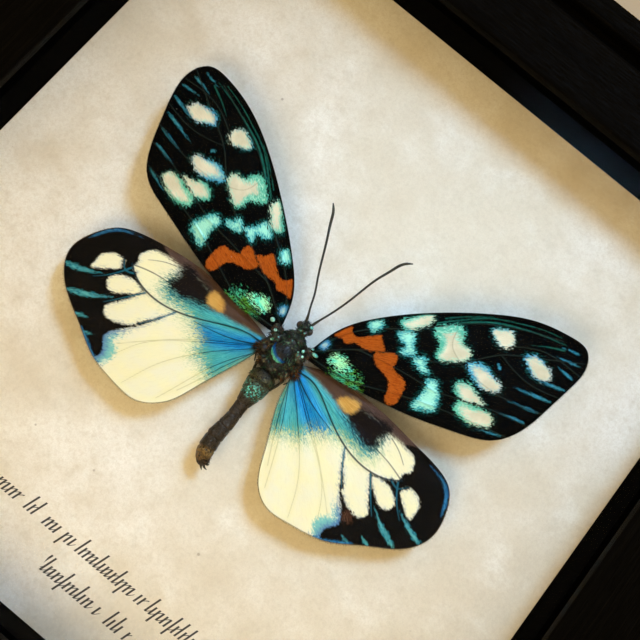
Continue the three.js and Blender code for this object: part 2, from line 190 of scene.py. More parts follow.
def hairs(roots, directions, lengths, radius, droop=0.25):
    # three-sided bristles: a ring at the root, a thinner ring past the middle and a point, with
    # the tip bent down by the droop's share of the length
    count = len(roots)
    directions = directions / np.linalg.norm(directions, axis=1, keepdims=True)
    sideways = np.cross(directions, [0.31, 0.17, 0.94])
    sideways /= np.linalg.norm(sideways, axis=1, keepdims=True)
    other = np.cross(directions, sideways)
    angle = (np.array([0, 2, 4]) * np.pi / 3)[None, :, None]
    ring = np.cos(angle) * sideways[:, None] + np.sin(angle) * other[:, None]
    reach = directions * lengths[:, None]
    sag = np.array([0, 0, -1.0]) * (droop * lengths)[:, None]
    low = roots[:, None] + radius * ring
    middle = (roots + 0.55 * reach + 0.25 * sag)[:, None] + 0.7 * radius * ring
    tip = (roots + reach + sag)[:, None]
    points = np.concatenate([low, middle, tip], axis=1).reshape(-1, 3)
    start = 7 * np.arange(count)[:, None, None]
    quads = np.array([[0, 1, 4, 3], [1, 2, 5, 4], [2, 0, 3, 5]])[None] + start
    ends = np.array([[3, 4, 6], [4, 5, 6], [5, 3, 6], [2, 1, 0]])[None] + start
    return dict(points=points, faces=[quads.reshape(-1, 4), ends.reshape(-1, 3)], fields={})


def joined(*surfaces):
    # several surfaces as one, keeping the fields that all of them have
    names = set.intersection(*(set(s["fields"]) for s in surfaces))
    starts = np.cumsum([0] + [len(s["points"]) for s in surfaces])
    faces = [part + start for s, start in zip(surfaces, starts) for part in s["faces"]]
    fields = {name: np.concatenate([s["fields"][name] for s in surfaces]) for name in sorted(names)}
    return dict(points=np.vstack([s["points"] for s in surfaces]), faces=faces, fields=fields)


def withFields(shape, **values):
    # the same surface with further fields, each one value or one a point
    count = len(shape["points"])
    for name, value in values.items():
        shape["fields"][name] = np.broadcast_to(np.asarray(value, float), (count,)).copy()
    return shape


def makePiece(name, shape, material, replaced=(), flat=None, crease=None):
    # puts a surface into a mesh, in metres; flat is a map of two numbers a point
    mesh = bpy.data.meshes.new(name)
    corners = np.concatenate([part.ravel() for part in shape["faces"]])
    sizes = np.concatenate([np.full(len(part), part.shape[1]) for part in shape["faces"]])
    mesh.vertices.add(len(shape["points"]))
    mesh.vertices.foreach_set("co", (shape["points"] * mm).astype(np.float32).ravel())
    mesh.loops.add(len(corners))
    mesh.loops.foreach_set("vertex_index", corners.astype(np.int32))
    mesh.polygons.add(len(sizes))
    mesh.polygons.foreach_set("loop_start", np.append(0, np.cumsum(sizes)[:-1]).astype(np.int32))
    mesh.update(calc_edges=True)
    mesh.polygons.foreach_set("use_smooth", np.ones(len(sizes), bool))
    if flat is not None:
        layer = mesh.uv_layers.new(name="span")
        layer.data.foreach_set("uv", flat[corners].astype(np.float32).ravel())
    for field, values in shape["fields"].items():
        layer = mesh.attributes.new(field, "FLOAT", "POINT")
        layer.data.foreach_set("value", values.astype(np.float32))
    if crease is not None:
        mesh.set_sharp_from_angle(angle=math.radians(crease))
    mesh.validate()
    mesh.materials.append(material)
    piece = bpy.data.objects.new(name, mesh)
    bpy.context.scene.collection.objects.link(piece)
    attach(piece, "root")
    if replaced:
        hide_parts(*replaced)


# Shader tools

def paint(red, green, blue):
    # colour from display values of 0 to 255 to the linear values that a shader takes
    display = np.array([red, green, blue]) / 255
    linear = np.where(display <= 0.04045, display / 12.92, ((display + 0.055) / 1.055)**2.4)
    return (*linear.tolist(), 1.0)


def addNode(tree, kind, inputs=None, **settings):
    made = tree.nodes.new("ShaderNode" + kind)
    for key, value in settings.items():
        setattr(made, key, value)
    for key, value in (inputs or {}).items():
        if isinstance(value, bpy.types.NodeSocket):
            tree.links.new(value, made.inputs[key])
        else:
            made.inputs[key].default_value = value
    return made


def blendColours(tree, share, first, second):
    return addNode(tree, "Mix", {0: share, 6: first, 7: second}, data_type="RGBA").outputs[2]


def blendValues(tree, share, first, second):
    return addNode(tree, "Mix", {0: share, 2: first, 3: second}).outputs[0]


def sums(tree, way, first, second=0.5, third=0.5):
    return addNode(tree, "Math", {0: first, 1: second, 2: third}, operation=way).outputs[0]


def times(tree, first, second):
    return sums(tree, "MULTIPLY", first, second)


def apart(tree, first, second):
    return sums(tree, "ABSOLUTE", sums(tree, "SUBTRACT", first, second))


def most(tree, *values):
    # the greatest of several values
    greatest = values[0]
    for value in values[1:]:
        greatest = sums(tree, "MAXIMUM", greatest, value)
    return greatest


def painted(tree, colour, *layers):
    # a colour with layers laid over it one after another, each a mask and the layer's colour
    for mask, layer in layers:
        colour = blendColours(tree, mask, colour, layer)
    return colour


def eased(tree, value, low, high, toLow=0.0, toHigh=1.0):
    made = addNode(tree, "MapRange", {"Value": value, "From Min": low, "From Max": high,
                   "To Min": toLow, "To Max": toHigh}, interpolation_type="SMOOTHSTEP")
    return made.outputs["Result"]


def stretched(tree, vector, scale, turn=0.0):
    turned = {"Vector": vector, "Scale": scale, "Rotation": (0, 0, turn)}
    return addNode(tree, "Mapping", turned).outputs[0]


def noise(tree, vector, scale, detail=3.0, roughness=0.5):
    given = {"Vector": vector, "Scale": scale, "Detail": detail, "Roughness": roughness}
    return addNode(tree, "TexNoise", given).outputs["Fac"]


def chances(tree, vector, scale):
    # a Voronoi texture's cells and the three random values of each cell
    cells = addNode(tree, "TexVoronoi", {"Vector": vector, "Scale": scale})
    return cells, addNode(tree, "SeparateColor", {0: cells.outputs["Color"]}).outputs


def newGroup(name, inputs, outputs):
    group = bpy.data.node_groups.new(name, "ShaderNodeTree")
    for label, kind, value in inputs:
        made = group.interface.new_socket(label, in_out="INPUT", socket_type="NodeSocket" + kind)
        if value is not None:
            made.default_value = value
    for label, kind in outputs:
        group.interface.new_socket(label, in_out="OUTPUT", socket_type="NodeSocket" + kind)
    return group, group.nodes.new("NodeGroupInput").outputs, group.nodes.new("NodeGroupOutput").inputs


def placeGroup(tree, group, inputs):
    return addNode(tree, "Group", inputs, node_tree=group).outputs


def newMaterial(name):
    # empty material with a Principled shader; constants are set on the shader's own sockets
    material = bpy.data.materials.new(name)
    material.use_nodes = True
    tree = material.node_tree
    tree.nodes.clear()
    shader = addNode(tree, "BsdfPrincipled")
    output = addNode(tree, "OutputMaterial", {"Surface": shader.outputs[0]})
    return material, tree, shader, output


def wire(tree, shader, **inputs):
    # sets or links the shader's sockets, named without their spaces
    names = {socket.name.replace(" ", ""): socket for socket in shader.inputs}
    for key, value in inputs.items():
        if isinstance(value, bpy.types.NodeSocket):
            tree.links.new(value, names[key])
        else:
            names[key].default_value = value


def bumped(tree, height, distance, strength=1.0):
    return addNode(tree, "Bump", {"Height": height, "Distance": distance, "Strength": strength}).outputs[0]


def attribute(tree, name):
    return addNode(tree, "Attribute", attribute_name=name).outputs["Fac"]


def objectPlace(tree):
    # place on the piece in millimetres
    place = addNode(tree, "TexCoord").outputs["Object"]
    return stretched(tree, place, (1000.0, 1000.0, 1000.0))


# Shared effects

def makeJaggedEdge():
    # mask of an area from its signed distance in mm, its edge broken up by grain
    group, given, made = newGroup("jaggedEdge",
        [("Field", "Float", 0.0), ("Grain", "Float", 0.5), ("Jag", "Float", 0.3), ("Blur", "Float", 0.08)],
        [("Mask", "Float")])
    moved = sums(group, "MULTIPLY_ADD", sums(group, "SUBTRACT", given["Grain"], 0.5),
                 times(group, given["Jag"], 2.0), given["Field"])
    back = times(group, given["Blur"], -1.0)
    group.links.new(eased(group, moved, back, given["Blur"], 1.0, 0.0), made["Mask"])
    return group


def makeScaleGrain():
    # grain of a wing, from its span map in mm: long hair-like streaks, single scales and clouds
    group, given, made = newGroup("scaleGrain", [("Vector", "Vector", None)],
        [(name, "Float") for name in ("Streak", "Fleck", "Cloud", "Line", "Height")])
    streak = noise(group, stretched(group, given["Vector"], (0.6, 3.6, 1.0)), 1.0, 4.0, 0.65)
    cells, (fleck, *_) = chances(group, stretched(group, given["Vector"], (3.0, 5.5, 1.0)), 1.0)
    soft = noise(group, given["Vector"], 0.3, 3.0)
    contrast = eased(group, streak, 0.3, 0.7)
    line = noise(group, stretched(group, given["Vector"], (0.07, 1.5, 1.0)), 1.0, 3.0, 0.55)
    group.links.new(eased(group, line, 0.54, 0.68), made["Line"])
    group.links.new(contrast, made["Streak"])
    group.links.new(fleck, made["Fleck"])
    group.links.new(soft, made["Cloud"])
    group.links.new(sums(group, "MULTIPLY_ADD", cells.outputs["Distance"], -0.5, streak), made["Height"])
    return group


def makeDust():
    # sparse round specks from a place in mm
    group, given, made = newGroup("dust",
        [("Vector", "Vector", None), ("Spacing", "Float", 3.0), ("Size", "Float", 0.12),
         ("Share", "Float", 0.3)], [("Mask", "Float")])
    scale = sums(group, "DIVIDE", 1.0, given["Spacing"])
    cells, chance = chances(group, given["Vector"], scale)
    radius = times(group, times(group, given["Size"], scale), chance[1])
    inner = times(group, radius, 0.5)
    near = eased(group, cells.outputs["Distance"], inner, radius, 1.0, 0.0)
    kept = sums(group, "LESS_THAN", chance[0], given["Share"])
    group.links.new(times(group, near, kept), made["Mask"])
    return group


jaggedEdge = makeJaggedEdge()
scaleGrain = makeScaleGrain()
dust = makeDust()
print("shared effects made")


# Camera and light

view = dict(place=(7.06, -15.07, 160.35), aim=(1.98, 16.42, 13.0), turn=39.17, focal=50.6, sensor=36,
            shiftRight=-0.0604, shiftUp=-0.0791)


def makeCamera():
    # looks steeply down at the moth, turned so that the frame lies askew in the picture
    camera = bpy.data.objects.new("camera", bpy.data.cameras.new("camera"))
    place, aim = Vector(view["place"]), Vector(view["aim"])
    back = (place - aim).normalized()
    turn = math.radians(view["turn"])
    right = Vector((-math.sin(turn), math.cos(turn), 0)).cross(back).normalized()
    axes = Matrix((right, back.cross(right), back)).transposed().to_4x4()
    camera.matrix_world = Matrix.Translation(place * mm) @ axes
    camera.data.lens, camera.data.sensor_width = view["focal"], view["sensor"]
    camera.data.shift_x, camera.data.shift_y = view["shiftRight"], view["shiftUp"]
    camera.data.clip_start, camera.data.clip_end = 0.005, 20
    camera.data.dof.use_dof = False
    bpy.context.scene.collection.objects.link(camera)
    bpy.context.scene.camera = camera


lights = dict(
    # kind, place, the point that it is aimed at, size, power, colour and the cone of a spot
    sideLamp=dict(kind="AREA", place=(6, -150, 215), aim=(4, 0, 13), size=150, watts=0.14,
                  colour=(1.0, 0.78, 0.46)),
    coolKey=dict(kind="SPOT", place=(50, 215, 280), aim=(14, 18, 13), size=140, watts=4.6, cone=27,
                 colour=(0.34, 0.62, 1.0)),
)
room = dict(air=(1.0, 0.68, 0.27, 1.0), strength=0.72, floorSide=4000, floor=paint(226, 224, 219))


def makeLights():
    for name, lamp in lights.items():
        light = bpy.data.objects.new(name, bpy.data.lights.new(name, lamp["kind"]))
        place, aim = Vector(lamp["place"]), Vector(lamp["aim"])
        turned = (place - aim).to_track_quat("Z", "Y").to_matrix().to_4x4()
        light.matrix_world = Matrix.Translation(place * mm) @ turned
        if lamp["kind"] == "AREA":
            light.data.shape, light.data.size = "DISK", lamp["size"] * mm
        else:
            light.data.shadow_soft_size = lamp["size"] * mm / 2
            light.data.spot_size, light.data.spot_blend = math.radians(lamp["cone"]), 1.0
        light.data.energy, light.data.color = lamp["watts"], lamp["colour"]
        bpy.context.scene.collection.objects.link(light)
    world = bpy.data.worlds.new("room")
    world.use_nodes = True
    background = world.node_tree.nodes["Background"]
    background.inputs["Color"].default_value = room["air"]
    background.inputs["Strength"].default_value = room["strength"]
    bpy.context.scene.world = world
    bpy.context.scene.view_settings.view_transform = "Standard"


def makeFloor():
    half = room["floorSide"] / 2
    corners = np.array([[-half, -half], [half, -half], [half, half], [-half, half]])
    points = np.column_stack([corners, np.full(4, -0.05)]) * mm
    mesh = bpy.data.meshes.new("floor")
    mesh.from_pydata(points.tolist(), [], [(0, 1, 2, 3)])
    material, tree, shader, _ = newMaterial("paleFloor")
    soft = noise(tree, objectPlace(tree), 0.02, 4.0)
    wire(tree, shader, Roughness=0.8,
         BaseColor=blendColours(tree, soft, paint(219, 217, 212), room["floor"]))
    mesh.materials.append(material)
    floor = bpy.data.objects.new("floor", mesh)
    bpy.context.scene.collection.objects.link(floor)


makeCamera()
makeLights()
makeFloor()
print("camera, lights and floor made")


# The wooden rails

rail = dict(depth=26, opening=116, face=12, groove=2.7, grooveDepth=2.6, rim=4.8, step=5.5, lip=2.2,
            arris=0.9, innerArris=0.5, mitreGap=0.01, fine=0.7, columns=140, wear=0.16, wave=0.02)


def arc(acrossCentre, heightCentre, radius, fromDegrees, toDegrees, steps=7):
    angle = np.radians(np.linspace(fromDegrees, toDegrees, steps))
    return np.column_stack([acrossCentre + radius * np.cos(angle), heightCentre + radius * np.sin(angle)])


def railSection():
    # closed section by distance in from the outer face and height, with short steps on every side
    r = rail
    width = r["face"] + r["groove"] + r["rim"]
    wall, ceiling = width - r["step"], r["depth"] - r["lip"]
    grooveIn, grooveFloor = r["rim"] + r["groove"], r["depth"] - r["grooveDepth"]
    high = r["depth"] - r["arris"]
    corners = np.vstack([
        [[0, 0], [wall, 0], [wall, ceiling], [width, ceiling]],
        arc(width - r["innerArris"], r["depth"] - r["innerArris"], r["innerArris"], 0, 90, 5),
        arc(grooveIn + r["arris"], high, r["arris"], 90, 180),
        [[grooveIn, grooveFloor], [r["rim"], grooveFloor]],
        arc(r["rim"] - r["arris"], high, r["arris"], 0, 90),
        arc(r["arris"], high, r["arris"], 90, 180)])
    pieces = []
    for start, end in zip(corners, np.roll(corners, -1, axis=0)):
        steps = max(1, round(float(np.linalg.norm(end - start)) / r["fine"]))
        pieces.append(start + (end - start) * np.arange(steps)[:, None] / steps)
    return np.vstack(pieces)


def makeRails(material):
    # rail surface: x = along * (half side - inset), y = inset - half side, z = height, for along
    # from -1 to 1 and the section's inset and height; each next rail is turned by 90 degrees
    section = railSection()
    count, columns = len(section), rail["columns"]
    halfSide = rail["opening"] / 2 + rail["face"] + rail["groove"] + rail["rim"]
    along = np.linspace(-1, 1, columns)[:, None]
    inset, height = section[None, :, 0], section[None, :, 1]
    x = along * (halfSide - inset - rail["mitreGap"])
    points = np.stack([x, inset - halfSide + 0 * x, height + 0 * x], axis=-1).reshape(-1, 3)
    run = np.append(0, np.cumsum(np.linalg.norm(np.diff(section, axis=0), axis=1)))
    flat = np.column_stack([points[:, 0], np.tile(run, columns)])
    index = np.arange(count)
    ends = [index[None, ::-1], index[None, :] + (columns - 1) * count]
    outward = np.clip((points[:, 2] - rail["depth"] + 1.2) / 1.2, 0, 1)  # only the top arrises wear
    for turn, side in enumerate(("bottom", "right", "top", "left")):
        worn = np.clip(cloud(points + 40 * turn, 5.0, 5, 3) - 0.35, 0, 1) * rail["wear"] * outward
        wave = cloud(points * [1, 3, 3] + 90 * turn, 14.0, 6, 2) * rail["wave"] * outward
        shaped = points - np.stack([0 * worn, 0 * worn, worn + np.maximum(wave, 0)], axis=-1)
        angle = turn * np.pi / 2
        spin = np.array([[np.cos(angle), np.sin(angle), 0], [-np.sin(angle), np.cos(angle), 0], [0, 0, 1]])
        shape = surface(shaped @ spin, [gridQuads(columns, count, wrap=True), *ends])
        makePiece(f"stained_rail_{side}", shape, material, [f"rail_{side}"],
                  flat + [200 * turn, 13 * turn], crease=35)


wood = dict(dark=paint(2, 2, 2), grain=paint(10, 9, 7), pore=paint(3, 3, 2), band=paint(9, 8, 7),
            dust=paint(96, 92, 84))


def woodMaterial():
    # black stain over fine straight grain; the arrises are rubbed and a little dust lies on it
    material, tree, shader, _ = newMaterial("stainedWood")
    span = addNode(tree, "UVMap", uv_map="span").outputs[0]
    fibres = noise(tree, stretched(tree, span, (0.05, 2.4, 1.0)), 1.0, 6.0, 0.65)
    pores = noise(tree, stretched(tree, span, (0.35, 7.0, 1.0)), 1.0, 2.0, 0.5)
    bands = noise(tree, stretched(tree, span, (0.012, 0.35, 1.0)), 1.0, 3.0)
    lines = eased(tree, fibres, 0.42, 0.72)
    lying = {"Vector": objectPlace(tree), "Spacing": 3.4, "Size": 0.45, "Share": 0.35}
    colour = painted(
        tree, blendColours(tree, lines, wood["dark"], wood["grain"]),
        (times(tree, eased(tree, pores, 0.52, 0.66), 0.8), wood["pore"]),
        (eased(tree, bands, 0.45, 0.75, 0.0, 0.5), wood["band"]),
        (placeGroup(tree, dust, lying)["Mask"], wood["dust"]))
    relief = sums(tree, "MULTIPLY_ADD", eased(tree, pores, 0.5, 0.68), -1.0, fibres)
    wire(tree, shader, BaseColor=colour, Roughness=eased(tree, fibres, 0.3, 0.8, 0.62, 0.46),
         SpecularIORLevel=0.03, Normal=bumped(tree, relief, 0.00012, 0.9))
    return material


makeRails(woodMaterial())
print("rails made")


# Paper, card, glass and the backing, all kept as drawn and finished here

label = dict(lines=((0.0, -46.0, 46.0), (2.6, -51.2, 17.5)), pitch=0.74, slant=0.32, low=1.5, tall=1.25,
             deep=1.0, pen=0.15, thin=0.08, ink=paint(26, 26, 34))


def makePenLine():
    # mask of one line of meaningless italic script: a slanted stroke at each step of the pitch,
    # some tall and some dropped below the line, joined by thin bows at the top or at the foot
    group, given, made = newGroup("penLine",
        [("Vector", "Vector", None), ("Middle", "Float", 0.0), ("Row", "Float", 0.0),
         ("Length", "Float", 20.0)], [("Mask", "Float")])
    parts = addNode(group, "SeparateXYZ", {0: given["Vector"]}).outputs
    rise = sums(group, "SUBTRACT", parts[1], given["Row"])
    upright = sums(group, "MULTIPLY_ADD", rise, -label["slant"], parts[0])
    steps = sums(group, "DIVIDE", upright, label["pitch"])
    stroke = sums(group, "ROUND", steps)
    bow = sums(group, "FLOOR", steps)
    tall, deep, gap = pickFor(group, stroke, given["Row"])
    joint, _, bowGap = pickFor(group, bow, given["Row"])
    aside = times(group, apart(group, steps, stroke), label["pitch"])
    top = sums(group, "MULTIPLY_ADD", sums(group, "GREATER_THAN", tall, 0.78), label["tall"], label["low"])
    foot = times(group, sums(group, "GREATER_THAN", deep, 0.88), -label["deep"])
    bar = inkNear(group, aside, label["pen"])
    bar = times(group, bar, inkNear(group, sums(group, "SUBTRACT", rise, top), 0.0))
    bar = times(group, bar, inkNear(group, sums(group, "SUBTRACT", foot, rise), 0.0))
    bar = times(group, bar, sums(group, "LESS_THAN", gap, 0.88))
    share = times(group, sums(group, "SUBTRACT", steps, bow), math.pi / 2)
    low = label["low"]
    over = sums(group, "MULTIPLY_ADD", sums(group, "SINE", share), 0.45 * low, 0.5 * low)
    under = sums(group, "MULTIPLY_ADD", sums(group, "COSINE", share), -0.5 * low, 0.55 * low)
    overBow = inkNear(group, apart(group, rise, over), label["thin"])
    underBow = inkNear(group, apart(group, rise, under), label["thin"])
    overBow = times(group, overBow, sums(group, "LESS_THAN", joint, 0.5))
    underBow = times(group, underBow, sums(group, "GREATER_THAN", joint, 0.38))
    bows = times(group, most(group, overBow, underBow), sums(group, "LESS_THAN", bowGap, 0.74))
    fromMiddle = apart(group, parts[0], given["Middle"])
    within = sums(group, "LESS_THAN", fromMiddle, times(group, given["Length"], 0.5))
    group.links.new(times(group, most(group, bar, bows), within), made["Mask"])
    return group


def pickFor(tree, cell, row):
    # three random values for a numbered cell of a row
    at = addNode(tree, "CombineXYZ", {"X": cell, "Y": row}).outputs[0]
    picked = addNode(tree, "TexWhiteNoise", {"Vector": at}, noise_dimensions="2D").outputs["Color"]
    return addNode(tree, "SeparateColor", {0: picked}).outputs


def inkNear(tree, away, half):
    # ink where the distance is less than the half width, with a slightly soft edge
    return eased(tree, away, half - 0.03, half + 0.06, 1.0, 0.0)


penLine = makePenLine()


paper = dict(pale=paint(238, 233, 224), tan=paint(222, 211, 191), cloud=paint(212, 198, 174),
             light=paint(246, 243, 235), patch=paint(200, 188, 166), grain=paint(204, 191, 168),
             fibre=paint(192, 180, 160), speck=paint(120, 98, 70))


def paperMaterial():
    # cream parchment with soft tan and grey clouds, a fine grain, a few specks and two pen lines
    material, tree, shader, _ = newMaterial("parchment")
    place = objectPlace(tree)
    wide = noise(tree, place, 0.028, 4.0, 0.55)
    middling = noise(tree, place, 0.11, 4.0, 0.6)
    fine = noise(tree, place, 1.3, 4.0, 0.6)
    patchy = noise(tree, place, 0.36, 5.0, 0.7)
    grainy = noise(tree, place, 4.5, 2.0, 0.6)
    specks = placeGroup(tree, dust, {"Vector": place, "Spacing": 5.5, "Size": 0.5, "Share": 0.3})
    colour = painted(
        tree, paper["pale"],
        (eased(tree, wide, 0.35, 0.66), paper["tan"]),
        (eased(tree, middling, 0.46, 0.74, 0.0, 0.5), paper["cloud"]),
        (eased(tree, middling, 0.24, 0.48, 0.5, 0.0), paper["light"]),
        (eased(tree, patchy, 0.48, 0.74, 0.0, 0.34), paper["patch"]),
        (eased(tree, fine, 0.42, 0.72, 0.0, 0.3), paper["grain"]),
        (eased(tree, grainy, 0.35, 0.7, 0.0, 0.22), paper["fibre"]),
        (times(tree, specks["Mask"], 0.45), paper["speck"]))
    for middle, y, length in label["lines"]:
        row = {"Vector": place, "Middle": middle, "Row": y, "Length": length}
        ink = placeGroup(tree, penLine, row)["Mask"]
        colour = blendColours(tree, times(tree, ink, 0.95), colour, label["ink"])
    wire(tree, shader, BaseColor=colour, Roughness=0.85, SpecularIORLevel=0.25,
         Normal=bumped(tree, sums(tree, "MULTIPLY_ADD", fine, 0.3, middling), 0.00006, 0.5))
    return material


def cardMaterial(name, low, high, grainScale, roughness, shine=0.15):
    # matt board with fine mottling
    material, tree, shader, _ = newMaterial(name)
    place = objectPlace(tree)
    fine = noise(tree, place, grainScale, 5.0, 0.65)
    wire(tree, shader, BaseColor=blendColours(tree, eased(tree, fine, 0.3, 0.7), low, high),
         Roughness=roughness, SpecularIORLevel=shine, Normal=bumped(tree, fine, 0.00008, 0.7))
    return material


def hardboardMaterial():
    # pressed brown fibres running two ways on both faces, with darker clouds
    material, tree, shader, _ = newMaterial("hardboard")
    place = objectPlace(tree)
    fibre = noise(tree, stretched(tree, place, (1.0, 0.25, 1.0), 0.6), 2.2, 5.0, 0.7)
    crossed = noise(tree, stretched(tree, place, (0.25, 1.0, 1.0), -0.5), 2.0, 5.0, 0.7)
    clouds = noise(tree, place, 0.06, 3.0)
    colour = painted(
        tree, paint(96, 66, 42),
        (eased(tree, fibre, 0.38, 0.66), paint(142, 105, 72)),
        (eased(tree, crossed, 0.45, 0.7, 0.0, 0.6), paint(166, 130, 94)),
        (eased(tree, clouds, 0.4, 0.7, 0.0, 0.4), paint(88, 62, 42)))
    wire(tree, shader, BaseColor=colour, Roughness=eased(tree, fibre, 0.3, 0.7, 0.75, 0.55),
         Normal=bumped(tree, sums(tree, "ADD", fibre, crossed), 0.00015, 0.8))
    return material


def metalMaterial(name, low, high, brushed, roughness):
    # rolled strip: fine lines along its length, cloudy tarnish and a few scratches
    material, tree, shader, _ = newMaterial(name)
    place = objectPlace(tree)
    lines = noise(tree, stretched(tree, place, brushed), 1.0, 4.0, 0.6)
    clouds = noise(tree, place, 0.5, 4.0, 0.6)
    colour = blendColours(tree, eased(tree, clouds, 0.35, 0.7), low, high)
    worn = eased(tree, clouds, 0.3, 0.8, roughness, roughness + 0.15)
    wire(tree, shader, BaseColor=colour, Metallic=1.0,
         Roughness=sums(tree, "MULTIPLY_ADD", lines, 0.25, worn),
         Normal=bumped(tree, lines, 0.00003, 0.5))
    return material


def glassMaterial():
    # picture glass, bloomed so that it hardly shines; light passes through it to the paper
    material, tree, shader, output = newMaterial("pictureGlass")
    smear = noise(tree, stretched(tree, objectPlace(tree), (1.0, 0.6, 1.0), 0.5), 0.03, 4.0, 0.6)
    wire(tree, shader, BaseColor=(0.985, 1.0, 0.992, 1.0), TransmissionWeight=1.0, IOR=1.05,
         Roughness=eased(tree, smear, 0.4, 0.8, 0.0, 0.02))
    clear = addNode(tree, "BsdfTransparent", {"Color": (0.985, 1.0, 0.992, 1.0)})
    shadow = addNode(tree, "LightPath").outputs["Is Shadow Ray"]
    both = addNode(tree, "MixShader", {0: shadow, 1: shader.outputs[0], 2: clear.outputs[0]})
    tree.links.new(both.outputs[0], output.inputs["Surface"])
    return material


def finishLayers():
    foam = cardMaterial("foamBoard", paint(236, 235, 230), paint(246, 246, 242), 1.5, 0.9)
    card = cardMaterial("spacerCard", paint(1, 1, 1), paint(4, 4, 4), 2.0, 0.95, 0.01)
    finishes = dict(
        parchment_sheet=(paperMaterial(), "parchment"),
        glass_pane=(glassMaterial(), "clear_glass"),
        foam_board=(foam, "foam"),
        back_board=(hardboardMaterial(), "hardboard"))
    steel = metalMaterial("steel", paint(150, 150, 147), paint(196, 196, 192), (0.5, 8.0, 8.0), 0.28)
    brass = metalMaterial("brass", paint(150, 118, 62), paint(204, 172, 104), (0.6, 9.0, 9.0), 0.24)
    for name in nodes:
        if name.startswith("spacer"):
            finishes[name] = (card, "spacer_card")
        if name.startswith("glazing_point") or name == "mounting_pin":
            finishes[name] = (steel, "steel")
        if "hanger" in name:
            finishes[name] = (brass, "brass")
    for name, (material, slot) in finishes.items():
        nodes[name].data.materials.clear()
        nodes[name].data.materials.append(material)


finishLayers()
print("paper, glass, card and backing finished")


# The wings

moth = dict(middleX=1.6, paper=13.0)

wings = dict(
    forewing_right=dict(
        side=1,
        lead=[(3.0, 0.4), (4.3, 5.4), (7.8, 10.8), (14.4, 17.5), (21.8, 23.4), (27.8, 27.0), (34.1, 28.8),
              (37.6, 28.6)],
        margin=[(37.6, 28.6), (39.0, 26.2), (38.9, 22.5), (38.0, 17.5), (36.8, 12.0), (34.4, 7.9)],
        trail=[(3.2, -1.3), (8.0, -0.9), (14.3, 0.4), (21.1, 2.1), (28.4, 4.7), (34.4, 7.9)]),
    forewing_left=dict(
        side=-1,
        lead=[(3.0, 0.6), (4.4, 4.6), (8.6, 9.6), (15.0, 15.0), (22.2, 20.2), (29.3, 24.0), (35.9, 25.7),
              (39.6, 25.3)],
        margin=[(39.6, 25.3), (41.1, 22.9), (40.8, 18.0), (39.2, 13.2), (37.4, 8.6), (34.9, 5.0)],
        trail=[(3.2, -1.4), (8.2, -1.7), (15.2, -1.1), (22.8, 0.7), (29.6, 2.7), (34.9, 5.0)]),
    hindwing_right=dict(
        side=1,
        lead=[(3.4, -2.4), (6.5, -0.9), (11.8, -0.1), (19.0, 0.0), (25.2, -0.6), (30.4, -1.2), (33.4, -2.4)],
        margin=[(33.4, -2.4), (35.5, -6.0), (35.9, -10.0), (33.6, -14.0), (28.3, -17.6), (24.0, -20.4),
                (16.9, -22.3), (13.0, -22.5), (10.4, -21.2)],
        trail=[(3.2, -5.0), (4.2, -9.2), (5.8, -12.8), (7.5, -16.4), (8.8, -19.2), (10.4, -21.2)]),
    hindwing_left=dict(
        side=-1,
        lead=[(3.4, -2.6), (6.2, -2.0), (10.8, -1.3), (17.4, -0.8), (24.5, -1.5), (29.2, -2.5), (33.1, -4.3)],
        margin=[(33.1, -4.3), (35.5, -7.8), (36.4, -11.2), (34.0, -15.5), (27.6, -19.3), (22.6, -21.8),
                (16.9, -22.9), (12.8, -22.8), (10.2, -21.2)],
        trail=[(3.2, -5.0), (4.1, -7.6), (6.2, -13.0), (7.5, -16.6), (8.6, -19.2), (10.2, -21.2)]),
)
wingForm = dict(thickness=0.09, veinHeight=0.07, veinWidth=0.22, costaHeight=0.14, costaWidth=0.5,
                pleatDepth=0.12, fringeStep=0.11, fringeLength=0.42, fringeRadius=0.03)


def wingEdge(outline, edge, at):
    # one of the wing's three edges, cut from the single smooth line that runs round them all
    lead, margin, trail = (outline[key] for key in ("lead", "margin", "trail"))
    whole = lead + margin[1:] + trail[-2::-1]
    apex, corner = len(lead) - 1, len(lead) + len(margin) - 2
    if edge == "trail":
        return smoothLine(whole, 1 - at, corner)
    return smoothLine(whole, at, *((0, apex) if edge == "lead" else (apex, corner)))


def wingPatch(outline, u, v):
    # place between the edges, u from the joint to the margin and v from the leading to the
    # trailing edge: the blend across of those two edges at u, plus u times what the margin
    # bulges past the straight line from apex to hind corner
    lead, trail = wingEdge(outline, "lead", u)[:, None], wingEdge(outline, "trail", u)[:, None]
    margin = wingEdge(outline, "margin", v)[None, :]
    u, v = u[:, None, None], v[None, :, None]
    far = lead[-1:] * (1 - v) + trail[-1:] * v
    return lead * (1 - v) + trail * v + u * (margin - far)


def foreLift(u, v):
    # arches gently over the hindwing, highest in the outer middle
    return 5.7 + 0.7 * u + 0.45 * u * np.sin(np.pi * (1 - v))


def hindLift(u, v):
    # folded like a fan: five shallow pleats along the wing, fading towards the margin
    return 4.75 - 0.1 * u - wingForm["pleatDepth"] * np.cos(10 * np.pi * v) * (1 - 0.5 * u)


# Markings of the forewing, as smooth outlines on the right wing, from the moth's middle line

